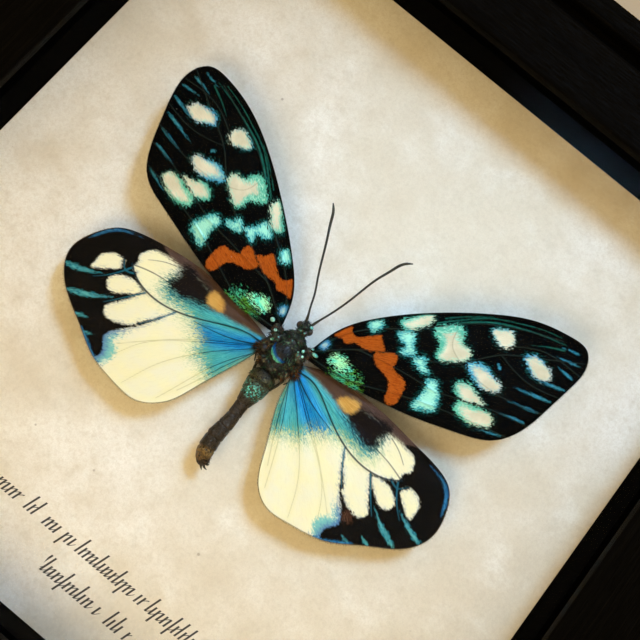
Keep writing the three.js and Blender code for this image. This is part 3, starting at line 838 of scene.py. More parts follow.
foreMarks = dict(
    orange=[
        [(4.4, 4.4), (4.7, 5.7), (5.6, 7.4), (6.3, 6.6), (7.5, 6.6), (8.1, 7.1), (9.4, 8.6), (10.2, 9.2),
         (10.8, 8.6), (12.1, 7.5), (11.4, 6.9), (9.8, 5.9), (8.4, 5.7), (7.4, 5.5), (6.5, 4.6), (5.7, 4.8)],
        [(11.1, 6.3), (12.2, 7.3), (14.0, 8.3), (14.6, 7.3), (14.7, 6.5), (16.0, 6.0), (17.6, 5.8),
         (18.2, 4.8), (18.5, 3.0), (18.4, 2.0), (17.4, 1.4), (16.7, 1.8), (16.2, 3.1), (15.6, 4.1),
         (14.3, 4.7), (12.7, 4.9), (11.8, 5.3)]],
    teal=[
        [(7.3, 9.6), (8.8, 11.2), (9.5, 10.7), (9.4, 9.8), (8.5, 8.7), (7.7, 9.0)],
        [(12.0, 11.3), (13.8, 13.2), (14.6, 12.4), (15.2, 11.3), (16.3, 10.2), (15.3, 9.3), (14.0, 8.9),
         (14.0, 10.3), (13.1, 10.5)],
        [(16.3, 9.5), (18.1, 11.0), (18.5, 10.1), (19.8, 9.3), (19.2, 8.8), (17.7, 8.8)],
        [(20.1, 8.3), (21.4, 9.2), (22.5, 8.3), (23.9, 6.0), (24.0, 5.2), (22.6, 4.1), (20.7, 3.5),
         (20.5, 4.9), (20.7, 6.5), (20.4, 7.5)]],
    mint=[
        [(6.2, 0.7), (6.4, 2.3), (7.5, 2.9), (8.8, 2.4), (10.0, 1.8), (8.9, 0.8), (7.6, 0.5)]],
    green=[
        [(7.6, -0.4), (8.6, 0.6), (11.7, 1.3), (12.4, 0.1), (10.2, -0.8), (8.6, -0.9)]],
    # outline, width of its teal rim and how blue that rim is
    pale=[
        ([(11.1, 13.0), (11.6, 14.0), (14.9, 16.9), (15.2, 15.9), (14.4, 14.5), (12.3, 12.4)], 0.45, 0.1),
        ([(16.1, 15.9), (17.1, 17.1), (18.9, 18.6), (20.4, 18.0), (21.1, 16.6), (22.6, 16.5), (23.2, 15.6),
          (22.8, 14.3), (21.2, 12.9), (19.6, 12.0), (18.7, 12.6), (18.4, 13.9), (17.2, 14.6)], 0.85, 0.05),
        ([(23.4, 21.3), (24.7, 22.7), (26.4, 23.2), (27.2, 22.3), (27.2, 20.9), (26.6, 20.2), (25.3, 20.3),
          (24.0, 20.7)], 0.22, 0.5),
        ([(23.5, 14.3), (25.2, 15.8), (27.0, 15.9), (28.3, 15.4), (29.7, 15.2), (30.1, 14.3), (29.4, 13.5),
          (27.9, 12.8), (26.2, 12.9), (24.8, 13.4)], 0.5, 0.75),
        ([(23.9, 10.6), (24.8, 11.8), (26.4, 12.1), (27.5, 11.6), (29.5, 10.9), (28.6, 10.4), (26.1, 9.3),
          (25.0, 9.6)], 0.42, 0.1),
        ([(26.1, 7.6), (26.0, 8.8), (28.3, 9.8), (30.3, 10.4), (31.6, 10.3), (32.4, 9.2), (31.2, 8.0),
          (29.2, 7.1), (27.2, 7.0)], 0.55, 0.0),
        ([(4.7, 2.1), (4.3, 3.1), (3.6, 2.8), (3.4, 1.8), (4.1, 1.5)], 0.75, 1.0),
        ([(30.2, 21.1), (31.2, 22.5), (33.2, 22.5), (34.8, 22.0), (35.4, 20.8), (34.4, 19.9), (32.7, 19.7),
          (31.3, 20.3)], 0.3, 0.8)],
    # points from the inner to the outer end, and the greatest half width
    streaks=[
        ([(34.0, 26.5), (36.9, 27.4)], 0.15), ([(34.2, 24.7), (38.0, 25.7)], 0.18),
        ([(35.2, 23.4), (38.4, 23.3)], 0.2), ([(33.2, 19.4), (38.2, 21.0)], 0.24),
        ([(31.6, 16.2), (37.5, 18.1)], 0.26), ([(32.2, 13.9), (36.9, 15.4)], 0.2),
        ([(32.2, 11.5), (36.2, 12.8)], 0.2), ([(30.9, 7.2), (34.6, 8.9)], 0.16),
        ([(27.3, 17.7), (28.1, 17.1)], 0.26)],
    # points, and the half width at each end
    costal=[
        ([(15.8, 16.5), (18.9, 19.8), (22.2, 22.8), (25.5, 24.7), (29.0, 26.4), (33.0, 27.7)], 0.12, 0.05),
        ([(18.6, 18.7), (21.3, 21.3), (23.9, 23.1), (26.8, 24.5), (31.0, 26.2), (34.5, 27.2)], 0.18, 0.05),
        ([(16.4, 18.0), (19.1, 20.6), (22.3, 23.2)], 0.08, 0.04),
        ([(29.7, 23.4), (31.8, 24.8), (34.6, 26.3)], 0.02, 0.14),
        ([(5.3, -1.5), (8.5, -1.1), (13.1, -0.4), (17.1, 0.9)], 0.12, 0.1)],
    veins=[
        [(3.2, 0.1), (8.6, 5.0), (15.4, 9.2), (22.5, 13.7), (26.8, 18.9), (30.4, 21.5), (38.6, 26.8)],
        [(4.2, -0.6), (10.5, 0.3), (16.3, 2.8), (22.4, 5.3), (29.5, 7.6), (35.2, 9.2)],
        [(2.9, 0.5), (7.1, 7.7), (14.0, 13.9), (19.1, 19.1), (26.0, 23.9), (33.6, 27.4)],
        [(19.0, 18.0), (19.9, 15.2), (22.6, 13.9)],
        [(22.5, 13.7), (29.3, 13.5), (34.4, 14.6), (38.2, 15.9)],
        [(22.2, 7.6), (28.7, 10.3), (34.1, 12.0), (37.3, 12.7)],
        [(8.6, 5.0), (15.2, 6.6), (22.2, 7.6)],
        [(27.0, 19.0), (33.0, 18.2), (38.7, 19.6)],
        [(26.0, 20.0), (32.0, 23.9), (38.8, 24.4)]],
)


def foreFields(spots):
    marks = foreMarks
    patches = np.array([areaField(spots, outline) for outline, _, _ in marks["pale"]])
    centres = np.array([np.mean(outline, axis=0) for outline, _, _ in marks["pale"]])
    # each rim is wide on the side towards the moth's head and nearly gone on the other
    lean = (spots[None] - centres[:, None]) @ [-0.9, 0.3]
    rims = np.array([rim for _, rim, _ in marks["pale"]])[:, None] * (1 + 0.75 * np.tanh(lean / 1.1))
    blues = np.array([blue for _, _, blue in marks["pale"]])
    return dict(
        orange=np.min([areaField(spots, outline) for outline in marks["orange"]], axis=0),
        teal=np.min([areaField(spots, outline) for outline in marks["teal"]], axis=0),
        mint=np.min([areaField(spots, outline) for outline in marks["mint"]], axis=0),
        green=np.min([areaField(spots, outline) for outline in marks["green"]], axis=0),
        pale=patches.min(axis=0),
        core=(patches + rims).min(axis=0),
        rimBlue=blues[patches.argmin(axis=0)],
        streak=np.min([bladeField(spots, *blade) for blade in marks["streaks"]], axis=0),
        costal=np.min([strokeField(spots, *stroke) for stroke in marks["costal"]], axis=0),
        vein=np.min([strokeField(spots, line, 0) for line in marks["veins"]], axis=0))


# Markings of the hindwing, in the same way

hindMarks = dict(
    border=[(19.6, -11.9), (22.5, -8.5), (24.0, -8.0), (25.6, -7.2), (26.6, -6.3), (26.5, -5.4), (27.2, -4.6),
            (26.8, -3.0), (25.9, -2.1), (24.0, -1.7), (26.6, -0.4), (30.4, 0.2), (35.4, -1.6), (38.0, -6.4),
            (38.0, -11.3), (35.5, -16.0), (29.8, -19.5), (24.9, -22.2), (22.4, -21.2), (22.1, -19.4),
            (23.3, -17.6), (22.4, -15.8)],
    blotch=[(13.9, -3.6), (14.7, -2.2), (17.6, -1.5), (20.5, -1.5), (20.2, -2.6), (19.9, -3.6), (20.2, -4.7),
            (18.9, -5.3), (16.9, -4.9), (15.2, -4.3)],
    spots=[
        [(22.9, -8.7), (24.1, -8.2), (25.9, -8.2), (27.2, -8.7), (28.3, -10.0), (28.0, -10.9), (27.1, -11.5),
         (25.9, -11.2), (24.4, -10.2)],
        [(28.1, -6.5), (29.1, -6.3), (30.9, -6.8), (31.6, -7.7), (31.7, -9.2), (31.6, -10.1), (30.4, -9.7),
         (28.7, -8.6), (27.8, -7.5)],
        [(17.2, -8.3), (18.4, -8.1), (20.3, -8.3), (22.2, -8.4), (23.6, -10.0), (25.0, -12.1), (25.9, -13.8),
         (25.2, -14.8), (23.5, -14.9), (21.7, -14.2), (19.8, -12.7), (18.2, -10.5)]],
    brown=[(3.0, -1.5), (5.2, 1.0), (11.5, 1.4), (16.2, 1.4), (21.7, 1.4), (27.5, 0.6), (29.5, -1.0),
           (26.3, -1.7), (23.4, -1.5), (20.3, -1.6), (17.6, -1.5), (14.7, -2.2), (13.7, -3.6), (11.5, -3.2),
           (9.0, -2.7), (6.8, -2.3), (4.6, -2.2)],
    ochre=[(11.2, -3.0), (11.8, -2.0), (14.6, -1.5), (14.7, -2.3), (13.9, -3.5), (12.3, -3.5)],
    fan=[(2.4, -1.4), (2.4, -6.0), (4.5, -12.2), (5.4, -13.6), (7.6, -12.5), (9.2, -11.7), (10.6, -11.2),
         (11.0, -9.7), (12.2, -8.9), (13.6, -7.7), (15.0, -7.3), (17.6, -7.1), (20.0, -6.9), (20.8, -5.6),
         (20.3, -4.4), (18.9, -4.2), (16.9, -3.6), (15.0, -2.9), (13.4, -2.2), (9.5, -1.6), (6.0, -1.1)],
    blue=[(3.8, -4.2), (7.4, -6.4), (11.6, -8.2)],
    streaks=[
        ([(26.0, -12.0), (28.5, -13.5), (32.2, -15.0)], 0.44),
        ([(29.5, -9.9), (32.2, -11.2), (35.2, -12.0)], 0.4),
        ([(26.9, -16.6), (29.1, -17.3)], 0.26), ([(24.7, -18.4), (26.6, -19.1)], 0.24)],
    blueEdge=[
        ([(29.0, -1.6), (31.9, -2.2), (33.4, -3.1), (34.4, -4.6), (35.1, -6.6)], 0.3),
        ([(20.4, -21.4), (22.6, -20.9), (24.6, -19.9), (26.9, -18.4)], 0.28)],
    veins=[
        ([(3.6, -3.6), (5.6, -3.3), (11.0, -5.3), (16.7, -7.8), (22.3, -8.3), (25.6, -7.2), (27.0, -6.2)],
         0.08, 0.1),
        ([(3.6, -3.9), (8.0, -5.9), (13.6, -7.3)], 0.08, 0.0),
        ([(21.6, -2.2), (23.5, -2.9), (25.6, -4.2)], 0.03, 0.0),
        ([(20.6, -5.0), (23.6, -5.4), (26.6, -6.2)], 0.02, 0.06)],
    gaps=[
        ([(16.8, -8.0), (18.2, -10.3), (20.2, -13.0)], 0.05, 0.34),
        ([(22.4, -8.5), (24.6, -11.2), (26.6, -13.4)], 0.12, 0.5),
        ([(26.6, -6.8), (28.3, -9.3), (30.4, -11.2)], 0.14, 0.5),
        ([(25.6, -7.2), (27.0, -7.6), (28.4, -6.3)], 0.3, 0.3)],
    pleats=[
        [(3.7, -4.8), (10.3, -11.4), (14.4, -16.6), (16.6, -21.6)],
        [(4.6, -4.6), (14.6, -11.8), (21.0, -17.4)],
        [(3.2, -5.2), (7.3, -12.2), (11.0, -20.4)],
        [(4.2, -4.5), (11.6, -9.9), (18.4, -15.6), (20.6, -19.6)],
        [(3.3, -5.1), (5.6, -10.6), (9.2, -17.6)]],
    # bare brown patch on the right wing only
    worn=[(22.9, -15.2), (23.9, -14.9), (24.7, -15.6), (24.5, -16.5), (23.6, -16.8), (22.8, -16.2)],
)


def hindFields(spots):
    marks = hindMarks
    holes = np.min([areaField(spots, outline) for outline in marks["spots"]], axis=0)
    border = np.maximum(areaField(spots, marks["border"]), -holes)
    gaps = np.min([strokeField(spots, *stroke) for stroke in marks["gaps"]], axis=0)
    border = np.minimum(border, gaps)
    blotch = areaField(spots, marks["blotch"])
    # the coloured rim is widest at the hind corner of the border
    corner = np.exp(-np.sum((spots - [20.8, -18.8])**2, axis=1) / 10)
    edges = [bladeField(spots, *blade) for blade in marks["blueEdge"]]
    return dict(
        dark=border,
        blotch=blotch,
        rim=0.02 + 2.0 * corner,
        gapLine=np.min([strokeField(spots, points, 0.1, 0.0) for points, _, _ in marks["gaps"]], axis=0),
        worn=areaField(spots, marks["worn"]),
        brown=areaField(spots, marks["brown"]),
        ochre=areaField(spots, marks["ochre"]),
        fan=areaField(spots, marks["fan"]),
        blue=strokeField(spots, marks["blue"], 0),
        blueEdge=np.min(edges, axis=0),
        streak=np.min([bladeField(spots, *blade) for blade in marks["streaks"]], axis=0),
        vein=np.min([strokeField(spots, *stroke) for stroke in marks["veins"]], axis=0),
        pleat=np.min([strokeField(spots, line, 0) for line in marks["pleats"]], axis=0))


def wingShape(outline, lift, u, v, fields, seed):
    # the patch lifted off the paper, thickened to a closed sheet, with raised veins, a stout
    # leading edge, a slight waver and a fringe of fine scales round the margin
    rows, columns = len(u), len(v)
    patch = wingPatch(outline, u, v)
    grid = patch.reshape(-1, 2)
    uu, vv = (axis.ravel() for axis in np.meshgrid(u, v, indexing="ij"))
    flatPlace = np.column_stack([grid, np.zeros(len(grid))])
    height = lift(uu, vv) + 0.07 * uu * cloud(flatPlace, 9.0, seed, 2)
    ridge = wingForm["veinHeight"] * np.exp(-(fields["vein"] / wingForm["veinWidth"])**2)
    costa = lineField(grid, patch[:, 0], np.zeros(rows))
    ridge = ridge + wingForm["costaHeight"] * np.exp(-(costa / wingForm["costaWidth"])**2)
    half = wingForm["thickness"] / 2
    top = np.column_stack([grid[:, 0] * outline["side"], grid[:, 1], height + half + ridge])
    under = np.column_stack([grid[:, 0] * outline["side"], grid[:, 1], height - half])
    index = np.arange(rows * columns).reshape(rows, columns)
    loop = np.concatenate([index[:-1, 0], index[-1, :-1], index[:0:-1, -1], index[0, :0:-1]])
    after = np.roll(loop, -1)
    shift = rows * columns
    rim = np.stack([loop, after, after + shift, loop + shift], axis=1)
    quads = gridQuads(rows, columns)
    sheet = surface(np.vstack([top, under]), [quads, quads[:, ::-1] + shift, rim])
    bristles, owners = fringe(outline, patch, height.reshape(rows, columns), index, seed)
    count = len(bristles["points"]) // 7
    owner = np.concatenate([np.arange(shift), np.arange(shift), np.repeat(owners, 7)])
    whole = joined(sheet, bristles)
    whole["fields"] = {name: values[owner] for name, values in fields.items()}
    whole["fields"]["costa"] = costa[owner]
    whole["fields"]["trailEdge"] = lineField(grid, patch[:, -1], np.zeros(rows))[owner]
    whole["fields"]["marginEdge"] = lineField(grid, patch[-1], np.zeros(columns))[owner]
    span = np.column_stack([uu * outline["reach"], vv * outline["breadth"]])
    return whole, span[owner], count


def fringe(outline, patch, height, index, seed):
    # fine bristles that stand out from the outer margin and the trailing edge, a little askew
    rng = np.random.default_rng(seed)
    edge = np.concatenate([index[-1, :], index[:-1, -1][::-1]])
    within = np.concatenate([index[-3, :], index[:-1, -3][::-1]])
    flatPatch = patch.reshape(-1, 2)
    run = np.append(0, np.cumsum(np.linalg.norm(np.diff(flatPatch[edge], axis=0), axis=1)))
    at = np.arange(0, run[-1] * 0.97, wingForm["fringeStep"])
    at = at + rng.uniform(0, 0.05, len(at))
    nearest = np.clip(np.searchsorted(run, at), 0, len(edge) - 1)
    share = np.interp(at, run, np.arange(len(edge)))
    low = np.floor(share).astype(int)
    part = (share - low)[:, None]
    high = np.minimum(low + 1, len(edge) - 1)
    root = flatPatch[edge[low]] * (1 - part) + flatPatch[edge[high]] * part
    outward = flatPatch[edge[low]] - flatPatch[within[low]]
    outward /= np.linalg.norm(outward, axis=1, keepdims=True)
    heights = height.ravel()[edge[low]] * (1 - part[:, 0]) + height.ravel()[edge[high]] * part[:, 0]
    root = root - 0.08 * outward
    roots = np.column_stack([root[:, 0] * outline["side"], root[:, 1], heights])
    askew = rng.normal(0, 0.16, (len(at), 3)) * [1, 1, 0.5]
    level = np.zeros(len(at))
    directions = np.column_stack([outward[:, 0] * outline["side"], outward[:, 1], level]) + askew
    lengths = wingForm["fringeLength"] * rng.uniform(0.5, 1.15, len(at))
    return hairs(roots, directions, lengths, wingForm["fringeRadius"], droop=0.1), edge[nearest]


print("wing outlines ready")


def edgeMaker(tree, grain):
    # gives a function from a field's name to the mask of its area with grainy edges
    def edge(name, jag, blur, noisy=None, inset=0.0):
        field = attribute(tree, name)
        if inset:
            field = sums(tree, "ADD", field, inset)
        given = {"Field": field, "Grain": noisy or grain, "Jag": jag, "Blur": blur}
        return placeGroup(tree, jaggedEdge, given)["Mask"]
    return edge


def foreMaterial():
    # black scales with orange, teal and cream markings whose edges break up into single scales
    material, tree, shader, _ = newMaterial("forewingScales")
    span = addNode(tree, "UVMap", uv_map="span").outputs[0]
    grain = placeGroup(tree, scaleGrain, {"Vector": span})
    streak, fleck, soft = grain["Streak"], grain["Fleck"], grain["Cloud"]
    edge = edgeMaker(tree, blendValues(tree, 0.72, streak, fleck))
    colour = blendColours(tree, eased(tree, soft, 0.35, 0.7), paint(2, 2, 2), paint(6, 5, 4))
    colour = blendColours(tree, eased(tree, fleck, 0.94, 1.0, 0.0, 0.3), colour, paint(22, 26, 26))
    orange = blendColours(tree, streak, paint(142, 62, 12), paint(174, 86, 24))
    orange = blendColours(tree, eased(tree, fleck, 0.65, 1.0, 0.0, 0.6), orange, paint(112, 46, 12))
    orangeMask = edge("orange", 0.24, 0.12)
    colour = blendColours(tree, orangeMask, colour, orange)
    deep = eased(tree, sums(tree, "MULTIPLY_ADD", fleck, 0.9, attribute(tree, "teal")), -0.5, 0.5, 1.0, 0.0)
    aqua = blendColours(tree, deep, paint(44, 146, 148), paint(156, 218, 192))
    tealMask = edge("teal", 0.4, 0.12)
    colour = blendColours(tree, edge("teal", 0.8, 0.2, None, -0.22), colour, paint(10, 62, 60))
    colour = blendColours(tree, tealMask, colour, aqua)
    paleMask = edge("pale", 0.45, 0.16)
    rimColour = blendColours(tree, attribute(tree, "rimBlue"), paint(86, 176, 146), paint(58, 142, 190))
    rimColour = blendColours(tree, eased(tree, fleck, 0.45, 1.0, 0.0, 0.8), rimColour, paint(176, 226, 200))
    colour = blendColours(tree, edge("pale", 0.8, 0.2, None, -0.2), colour, paint(12, 60, 58))
    colour = blendColours(tree, paleMask, colour, rimColour)
    cream = blendColours(tree, eased(tree, soft, 0.3, 0.7), paint(200, 190, 160), paint(220, 210, 182))
    colour = blendColours(tree, edge("core", 0.5, 0.4), colour, cream)
    streakMask = edge("streak", 0.22, 0.12)
    ray = blendColours(tree, fleck, paint(10, 74, 92), paint(74, 152, 164))
    colour = blendColours(tree, streakMask, colour, ray)
    costalMask = edge("costal", 0.1, 0.1)
    colour = blendColours(tree, times(tree, costalMask, 0.8), colour,
                          blendColours(tree, fleck, paint(10, 66, 58), paint(40, 122, 104)))
    greenMask = edge("green", 1.5, 0.2, fleck, 0.25)
    leaf = blendColours(tree, eased(tree, soft, 0.4, 0.6), paint(76, 130, 40), paint(60, 160, 120))
    colour = blendColours(tree, greenMask, colour, leaf)
    mintMask = edge("mint", 0.7, 0.24, fleck, 0.3)
    mint = blendColours(tree, eased(tree, soft, 0.35, 0.65), paint(84, 214, 180), paint(176, 236, 170))
    colour = blendColours(tree, mintMask, colour, mint)
    paler = most(tree, paleMask, tealMask)
    veinMask = eased(tree, attribute(tree, "vein"), 0.04, 0.17, 0.8, 0.0)
    veinMask = times(tree, veinMask, eased(tree, paler, 0.0, 1.0, 1.0, 0.3))
    veinMask = times(tree, veinMask, eased(tree, orangeMask, 0.0, 1.0, 1.0, 0.3))
    veinColour = blendColours(tree, most(tree, paler, orangeMask), paint(30, 38, 34), paint(8, 7, 6))
    colour = blendColours(tree, veinMask, colour, veinColour)
    costaMask = eased(tree, attribute(tree, "costa"), 0.15, 0.5, 0.9, 0.0)
    colour = blendColours(tree, costaMask, colour, paint(8, 6, 5))
    specks = placeGroup(tree, dust, {"Vector": span, "Spacing": 2.4, "Size": 0.3, "Share": 0.12})
    colour = blendColours(tree, times(tree, specks["Mask"], 0.5), colour, paint(150, 148, 138))
    bright = most(tree, tealMask, mintMask, streakMask, greenMask)
    wire(tree, shader, BaseColor=colour, Metallic=times(tree, bright, 0.3),
         Roughness=eased(tree, bright, 0.0, 1.0, 0.6, 0.42), SpecularIORLevel=0.02,
         Normal=bumped(tree, grain["Height"], 0.00005, 0.8))
    return material


def hindMaterial():
    # silky cream scales, a blue and teal fan at the base, a black border and a brown front edge, with painted
    # shade along the pleats
    material, tree, shader, _ = newMaterial("hindwingScales")
    span = addNode(tree, "UVMap", uv_map="span").outputs[0]
    grain = placeGroup(tree, scaleGrain, {"Vector": span})
    streak, fleck, soft = grain["Streak"], grain["Fleck"], grain["Cloud"]
    mixed = blendValues(tree, 0.72, streak, fleck)
    edge = edgeMaker(tree, mixed)
    colour = blendColours(tree, eased(tree, soft, 0.3, 0.7), paint(230, 225, 196), paint(234, 227, 184))
    colour = blendColours(tree, eased(tree, streak, 0.55, 1.0, 0.0, 0.25), colour, paint(220, 211, 176))
    pleat = attribute(tree, "pleat")
    # painted shade of the folds: a soft yellowish band along each pleat and a thin darker line in its crease
    colour = blendColours(tree, eased(tree, pleat, 0.1, 0.9, 0.3, 0.0), colour, paint(226, 218, 158))
    crease = eased(tree, pleat, 0.02, 0.13, 0.4, 0.0)
    colour = blendColours(tree, crease, colour, paint(156, 148, 92))
    fan = attribute(tree, "fan")
    nearBlue = eased(tree, attribute(tree, "blue"), 0.1, 2.9, 1.0, 0.0)
    aqua = blendColours(tree, streak, paint(38, 136, 146), paint(88, 182, 184))
    azure = blendColours(tree, streak, paint(6, 88, 158), paint(30, 148, 204))
    fanColour = blendColours(tree, nearBlue, aqua, azure)
    fanColour = blendColours(tree, times(tree, grain["Line"], 0.45), fanColour, paint(8, 40, 66))
    speckled = eased(tree, fleck, 0.25, 0.85, 0.1, 0.85)
    speckled = times(tree, eased(tree, fan, -2.8, -0.1), speckled)
    fanColour = blendColours(tree, speckled, fanColour, paint(96, 146, 98))
    stipple = blendValues(tree, 0.85, streak, fleck)
    haze = edge("fan", 1.2, 1.6, stipple, -0.9)
    colour = blendColours(tree, times(tree, haze, 0.6), colour, paint(146, 176, 122))
    fanMask = edge("fan", 1.0, 1.1, stipple, 0.2)
    # painted shade in the pleat creases, dark blue over the fan
    fanColour = blendColours(tree, times(tree, crease, 2.1), fanColour, paint(6, 40, 62))
    colour = blendColours(tree, fanMask, colour, fanColour)
    brown = blendColours(tree, soft, paint(48, 35, 31), paint(96, 74, 64))
    brownMask = edge("brown", 0.3, 0.5, None, -0.4)
    colour = blendColours(tree, brownMask, colour, brown)
    dark = attribute(tree, "dark")
    rimField = sums(tree, "SUBTRACT", dark, attribute(tree, "rim"))
    rimGiven = {"Field": rimField, "Grain": stipple, "Jag": 0.5, "Blur": 0.6}
    rimMask = placeGroup(tree, jaggedEdge, rimGiven)["Mask"]
    rimMask = times(tree, rimMask, eased(tree, attribute(tree, "rim"), 0.1, 1.0, 0.5, 1.0))
    rimMask = times(tree, rimMask, sums(tree, "SUBTRACT", 1.0, brownMask))
    outward = eased(tree, sums(tree, "MULTIPLY_ADD", fleck, 0.5, dark), 0.1, 1.7)
    rimColour = blendColours(tree, outward, paint(16, 98, 156), paint(96, 180, 176))
    colour = blendColours(tree, times(tree, rimMask, 0.9), colour, rimColour)
    darkMask = edge("dark", 0.16, 0.2)
    black = blendColours(tree, eased(tree, soft, 0.4, 0.7), paint(5, 4, 3), paint(12, 8, 7))
    colour = blendColours(tree, darkMask, colour, black)
    gapMask = eased(tree, attribute(tree, "gapLine"), -0.04, 0.14, 0.75, 0.0)
    colour = blendColours(tree, gapMask, colour, paint(30, 104, 128))
    halo = edge("blotch", 0.8, 0.8, stipple, -1.0)
    halo = times(tree, halo, sums(tree, "SUBTRACT", 1.0, brownMask))
    colour = blendColours(tree, times(tree, halo, 0.75), colour, paint(40, 108, 118))
    blotchMask = edge("blotch", 0.55, 0.7, stipple, -0.45)
    colour = blendColours(tree, blotchMask, colour, paint(18, 12, 12))
    ochre = blendColours(tree, streak, paint(172, 126, 54), paint(206, 162, 88))
    colour = blendColours(tree, edge("ochre", 0.3, 0.4), colour, ochre)
    streakMask = edge("streak", 0.26, 0.16)
    ray = blendColours(tree, fleck, paint(20, 104, 122), paint(96, 178, 182))
    colour = blendColours(tree, streakMask, colour, ray)
    blueMask = times(tree, edge("blueEdge", 0.2, 0.16), 0.85)
    marginBlue = blendColours(tree, fleck, paint(20, 70, 118), paint(60, 136, 178))
    colour = blendColours(tree, blueMask, colour, marginBlue)
    veinMask = eased(tree, attribute(tree, "vein"), -0.04, 0.14, 0.9, 0.0)
    colour = blendColours(tree, veinMask, colour, paint(12, 32, 44))
    bare = blendColours(tree, fleck, paint(34, 20, 14), paint(86, 56, 42))
    colour = blendColours(tree, edge("worn", 0.6, 0.2), colour, bare)
    backEdge = eased(tree, attribute(tree, "trailEdge"), 0.05, 0.16, 0.7, 0.0)
    colour = blendColours(tree, backEdge, colour, paint(44, 44, 34))
    outerEdge = eased(tree, attribute(tree, "marginEdge"), 0.04, 0.16, 0.7, 0.0)
    colour = blendColours(tree, outerEdge, colour, paint(96, 78, 52))
    bright = most(tree, fanMask, streakMask, blueMask)
    wire(tree, shader, BaseColor=colour, Metallic=times(tree, bright, 0.25),
         Roughness=eased(tree, bright, 0.0, 1.0, 0.6, 0.42), SpecularIORLevel=0.06,
         Normal=bumped(tree, grain["Height"], 0.00005, 0.8))
    return material


wingKinds = dict(
    forewing=dict(rows=230, columns=160, reach=46.0, breadth=24.0, lift=foreLift, fields=foreFields,
                  material=foreMaterial()),
    hindwing=dict(rows=180, columns=200, reach=28.0, breadth=32.0, lift=hindLift, fields=hindFields,
                  material=hindMaterial()),
)


def ontoPaper(shape):
    # from the moth's own axes to the frame's
    shape["points"] = shape["points"] + [moth["middleX"], 0, moth["paper"]]
    return shape


def makeWings():
    for kind, made in wingKinds.items():
        u = np.linspace(0, 1, made["rows"])
        v = np.linspace(0, 1, made["columns"])
        spots = wingPatch(wings[kind + "_right"], u, v).reshape(-1, 2)
        fields = made["fields"](spots)
        for seed, side in enumerate(("right", "left")):
            outline = dict(wings[f"{kind}_{side}"], reach=made["reach"], breadth=made["breadth"])
            if side == "left" and "worn" in fields:
                fields = dict(fields, worn=fields["worn"] + 99)
            shape, span, bristles = wingShape(outline, made["lift"], u, v, fields, 11 + seed)
            makePiece(f"{kind}_{side}_scales", ontoPaper(shape), made["material"],
                      [f"{kind}_{side}"], span + [100 * seed, 0])
            print(kind, side, "made, with", bristles, "fringe bristles")


makeWings()


# The body

trunk = dict(
    line=[(0, 3.5, 4.5), (0, 0, 4.4), (0, -4, 4.3), (0, -7, 4.3), (0, -9.1, 4.3), (0.1, -11.1, 4.1),
          (0.1, -13.6, 4.0), (0.2, -16.3, 3.9), (0, -19, 3.75), (0.2, -21.3, 3.6), (0.8, -22.9, 3.45),
          (1.7, -23.7, 3.3)],
    # distance along the middle line, radius
    fore=[(0, 0.05), (0.2, 0.6), (0.6, 0.95), (1.2, 1.1), (1.8, 0.95), (2.1, 0.9), (2.4, 1.3), (3.0, 1.75),
          (3.5, 1.95), (3.7, 1.85), (4.5, 2.4), (5.5, 2.7), (6.5, 2.75), (7.5, 2.6), (8.5, 2.3), (9.5, 1.9),
          (10.1, 1.6)],
    rings=[(10.9, 2.0), (11.7, 2.1), (12.5, 2.1), (13.4, 1.95), (14.4, 1.72), (15.4, 1.42), (16.4, 1.16),
           (17.4, 1.08), (18.5, 1.1), (19.7, 1.18), (20.9, 1.26), (22.1, 1.34), (23.2, 1.36), (24.4, 1.4),
           (25.5, 1.38), (26.5, 1.15), (27.5, 0.75)],
    grooves=(10.2, 12.1, 14.4, 16.4, 18.5, 20.7, 23.0, 25.0),
    grooveDepth=(0.34, 0.22, 0.16, 0.1, 0.1, 0.11, 0.13, 0.14),
    grooveWidth=0.14, rows=560, sides=120)


def bodyShape():
    # radius by distance along the body, pinched at the ring joints and roughened by noise, most
    # of all over the thorax and at the withered tip
    line = smoothLine(trunk["line"], np.linspace(0, 1, trunk["rows"]))
    run = np.append(0, np.cumsum(np.linalg.norm(np.diff(line, axis=0), axis=1)))
    profile = np.array([*trunk["fore"], *trunk["rings"], (run[-1], 0.05)])
    smooth = smoothLine(profile, np.linspace(0, 1, 900))
    radii = np.interp(run, smooth[:, 0], smooth[:, 1])
    for groove, depth in zip(trunk["grooves"], trunk["grooveDepth"]):
        behind = run - groove
        radii = radii - depth * np.exp(-(behind / trunk["grooveWidth"])**2)
        radii = radii + 0.4 * depth * np.exp(-((behind + 0.4) / 0.35)**2)
    angle = np.linspace(0, 2 * np.pi, trunk["sides"], endpoint=False)
    circle = 2.5 * np.cos(angle)[None], 2.5 * np.sin(angle)[None]
    around = np.stack(np.broadcast_arrays(run[:, None], *circle), axis=-1).reshape(-1, 3)
    weight = np.interp(run, [0, 2, 9, 11, 25, 27.5], [1.5, 2.2, 2.2, 0.8, 0.7, 4.0]).repeat(len(angle))
    lumpy, pitted = cloud(around, 1.3, 21, 4), cloud(around * [1, 2, 2], 0.4, 22, 2)
    rough = 1 + weight * (0.03 * lumpy + 0.014 * pitted)
    behind = np.clip((run - 10) / 4, 0, 1).repeat(len(angle))
    wrinkle = cloud(around * [0.25, 1, 1], 0.5, 23, 3) * behind
    ridge = (rough + 0.02 * wrinkle).reshape(len(run), trunk["sides"])
    shape = tube(line, radii, trunk["sides"], ridge)
    shape["fields"]["run"] = np.append(np.repeat(run, trunk["sides"]), [0, run[-1]])
    return shape, run


def lump(centre, radii, roughness, seed, rows=26, sides=38):
    # ball with a knobbly skin: its radius is scaled by 1 + roughness * noise
    shape = ball(np.zeros(3), np.array(radii), rows, sides)
    swell = 1 + roughness * cloud(shape["points"] + seed, 0.7, seed, 3)
    shape["points"] = shape["points"] * swell[:, None] + centre
    return shape


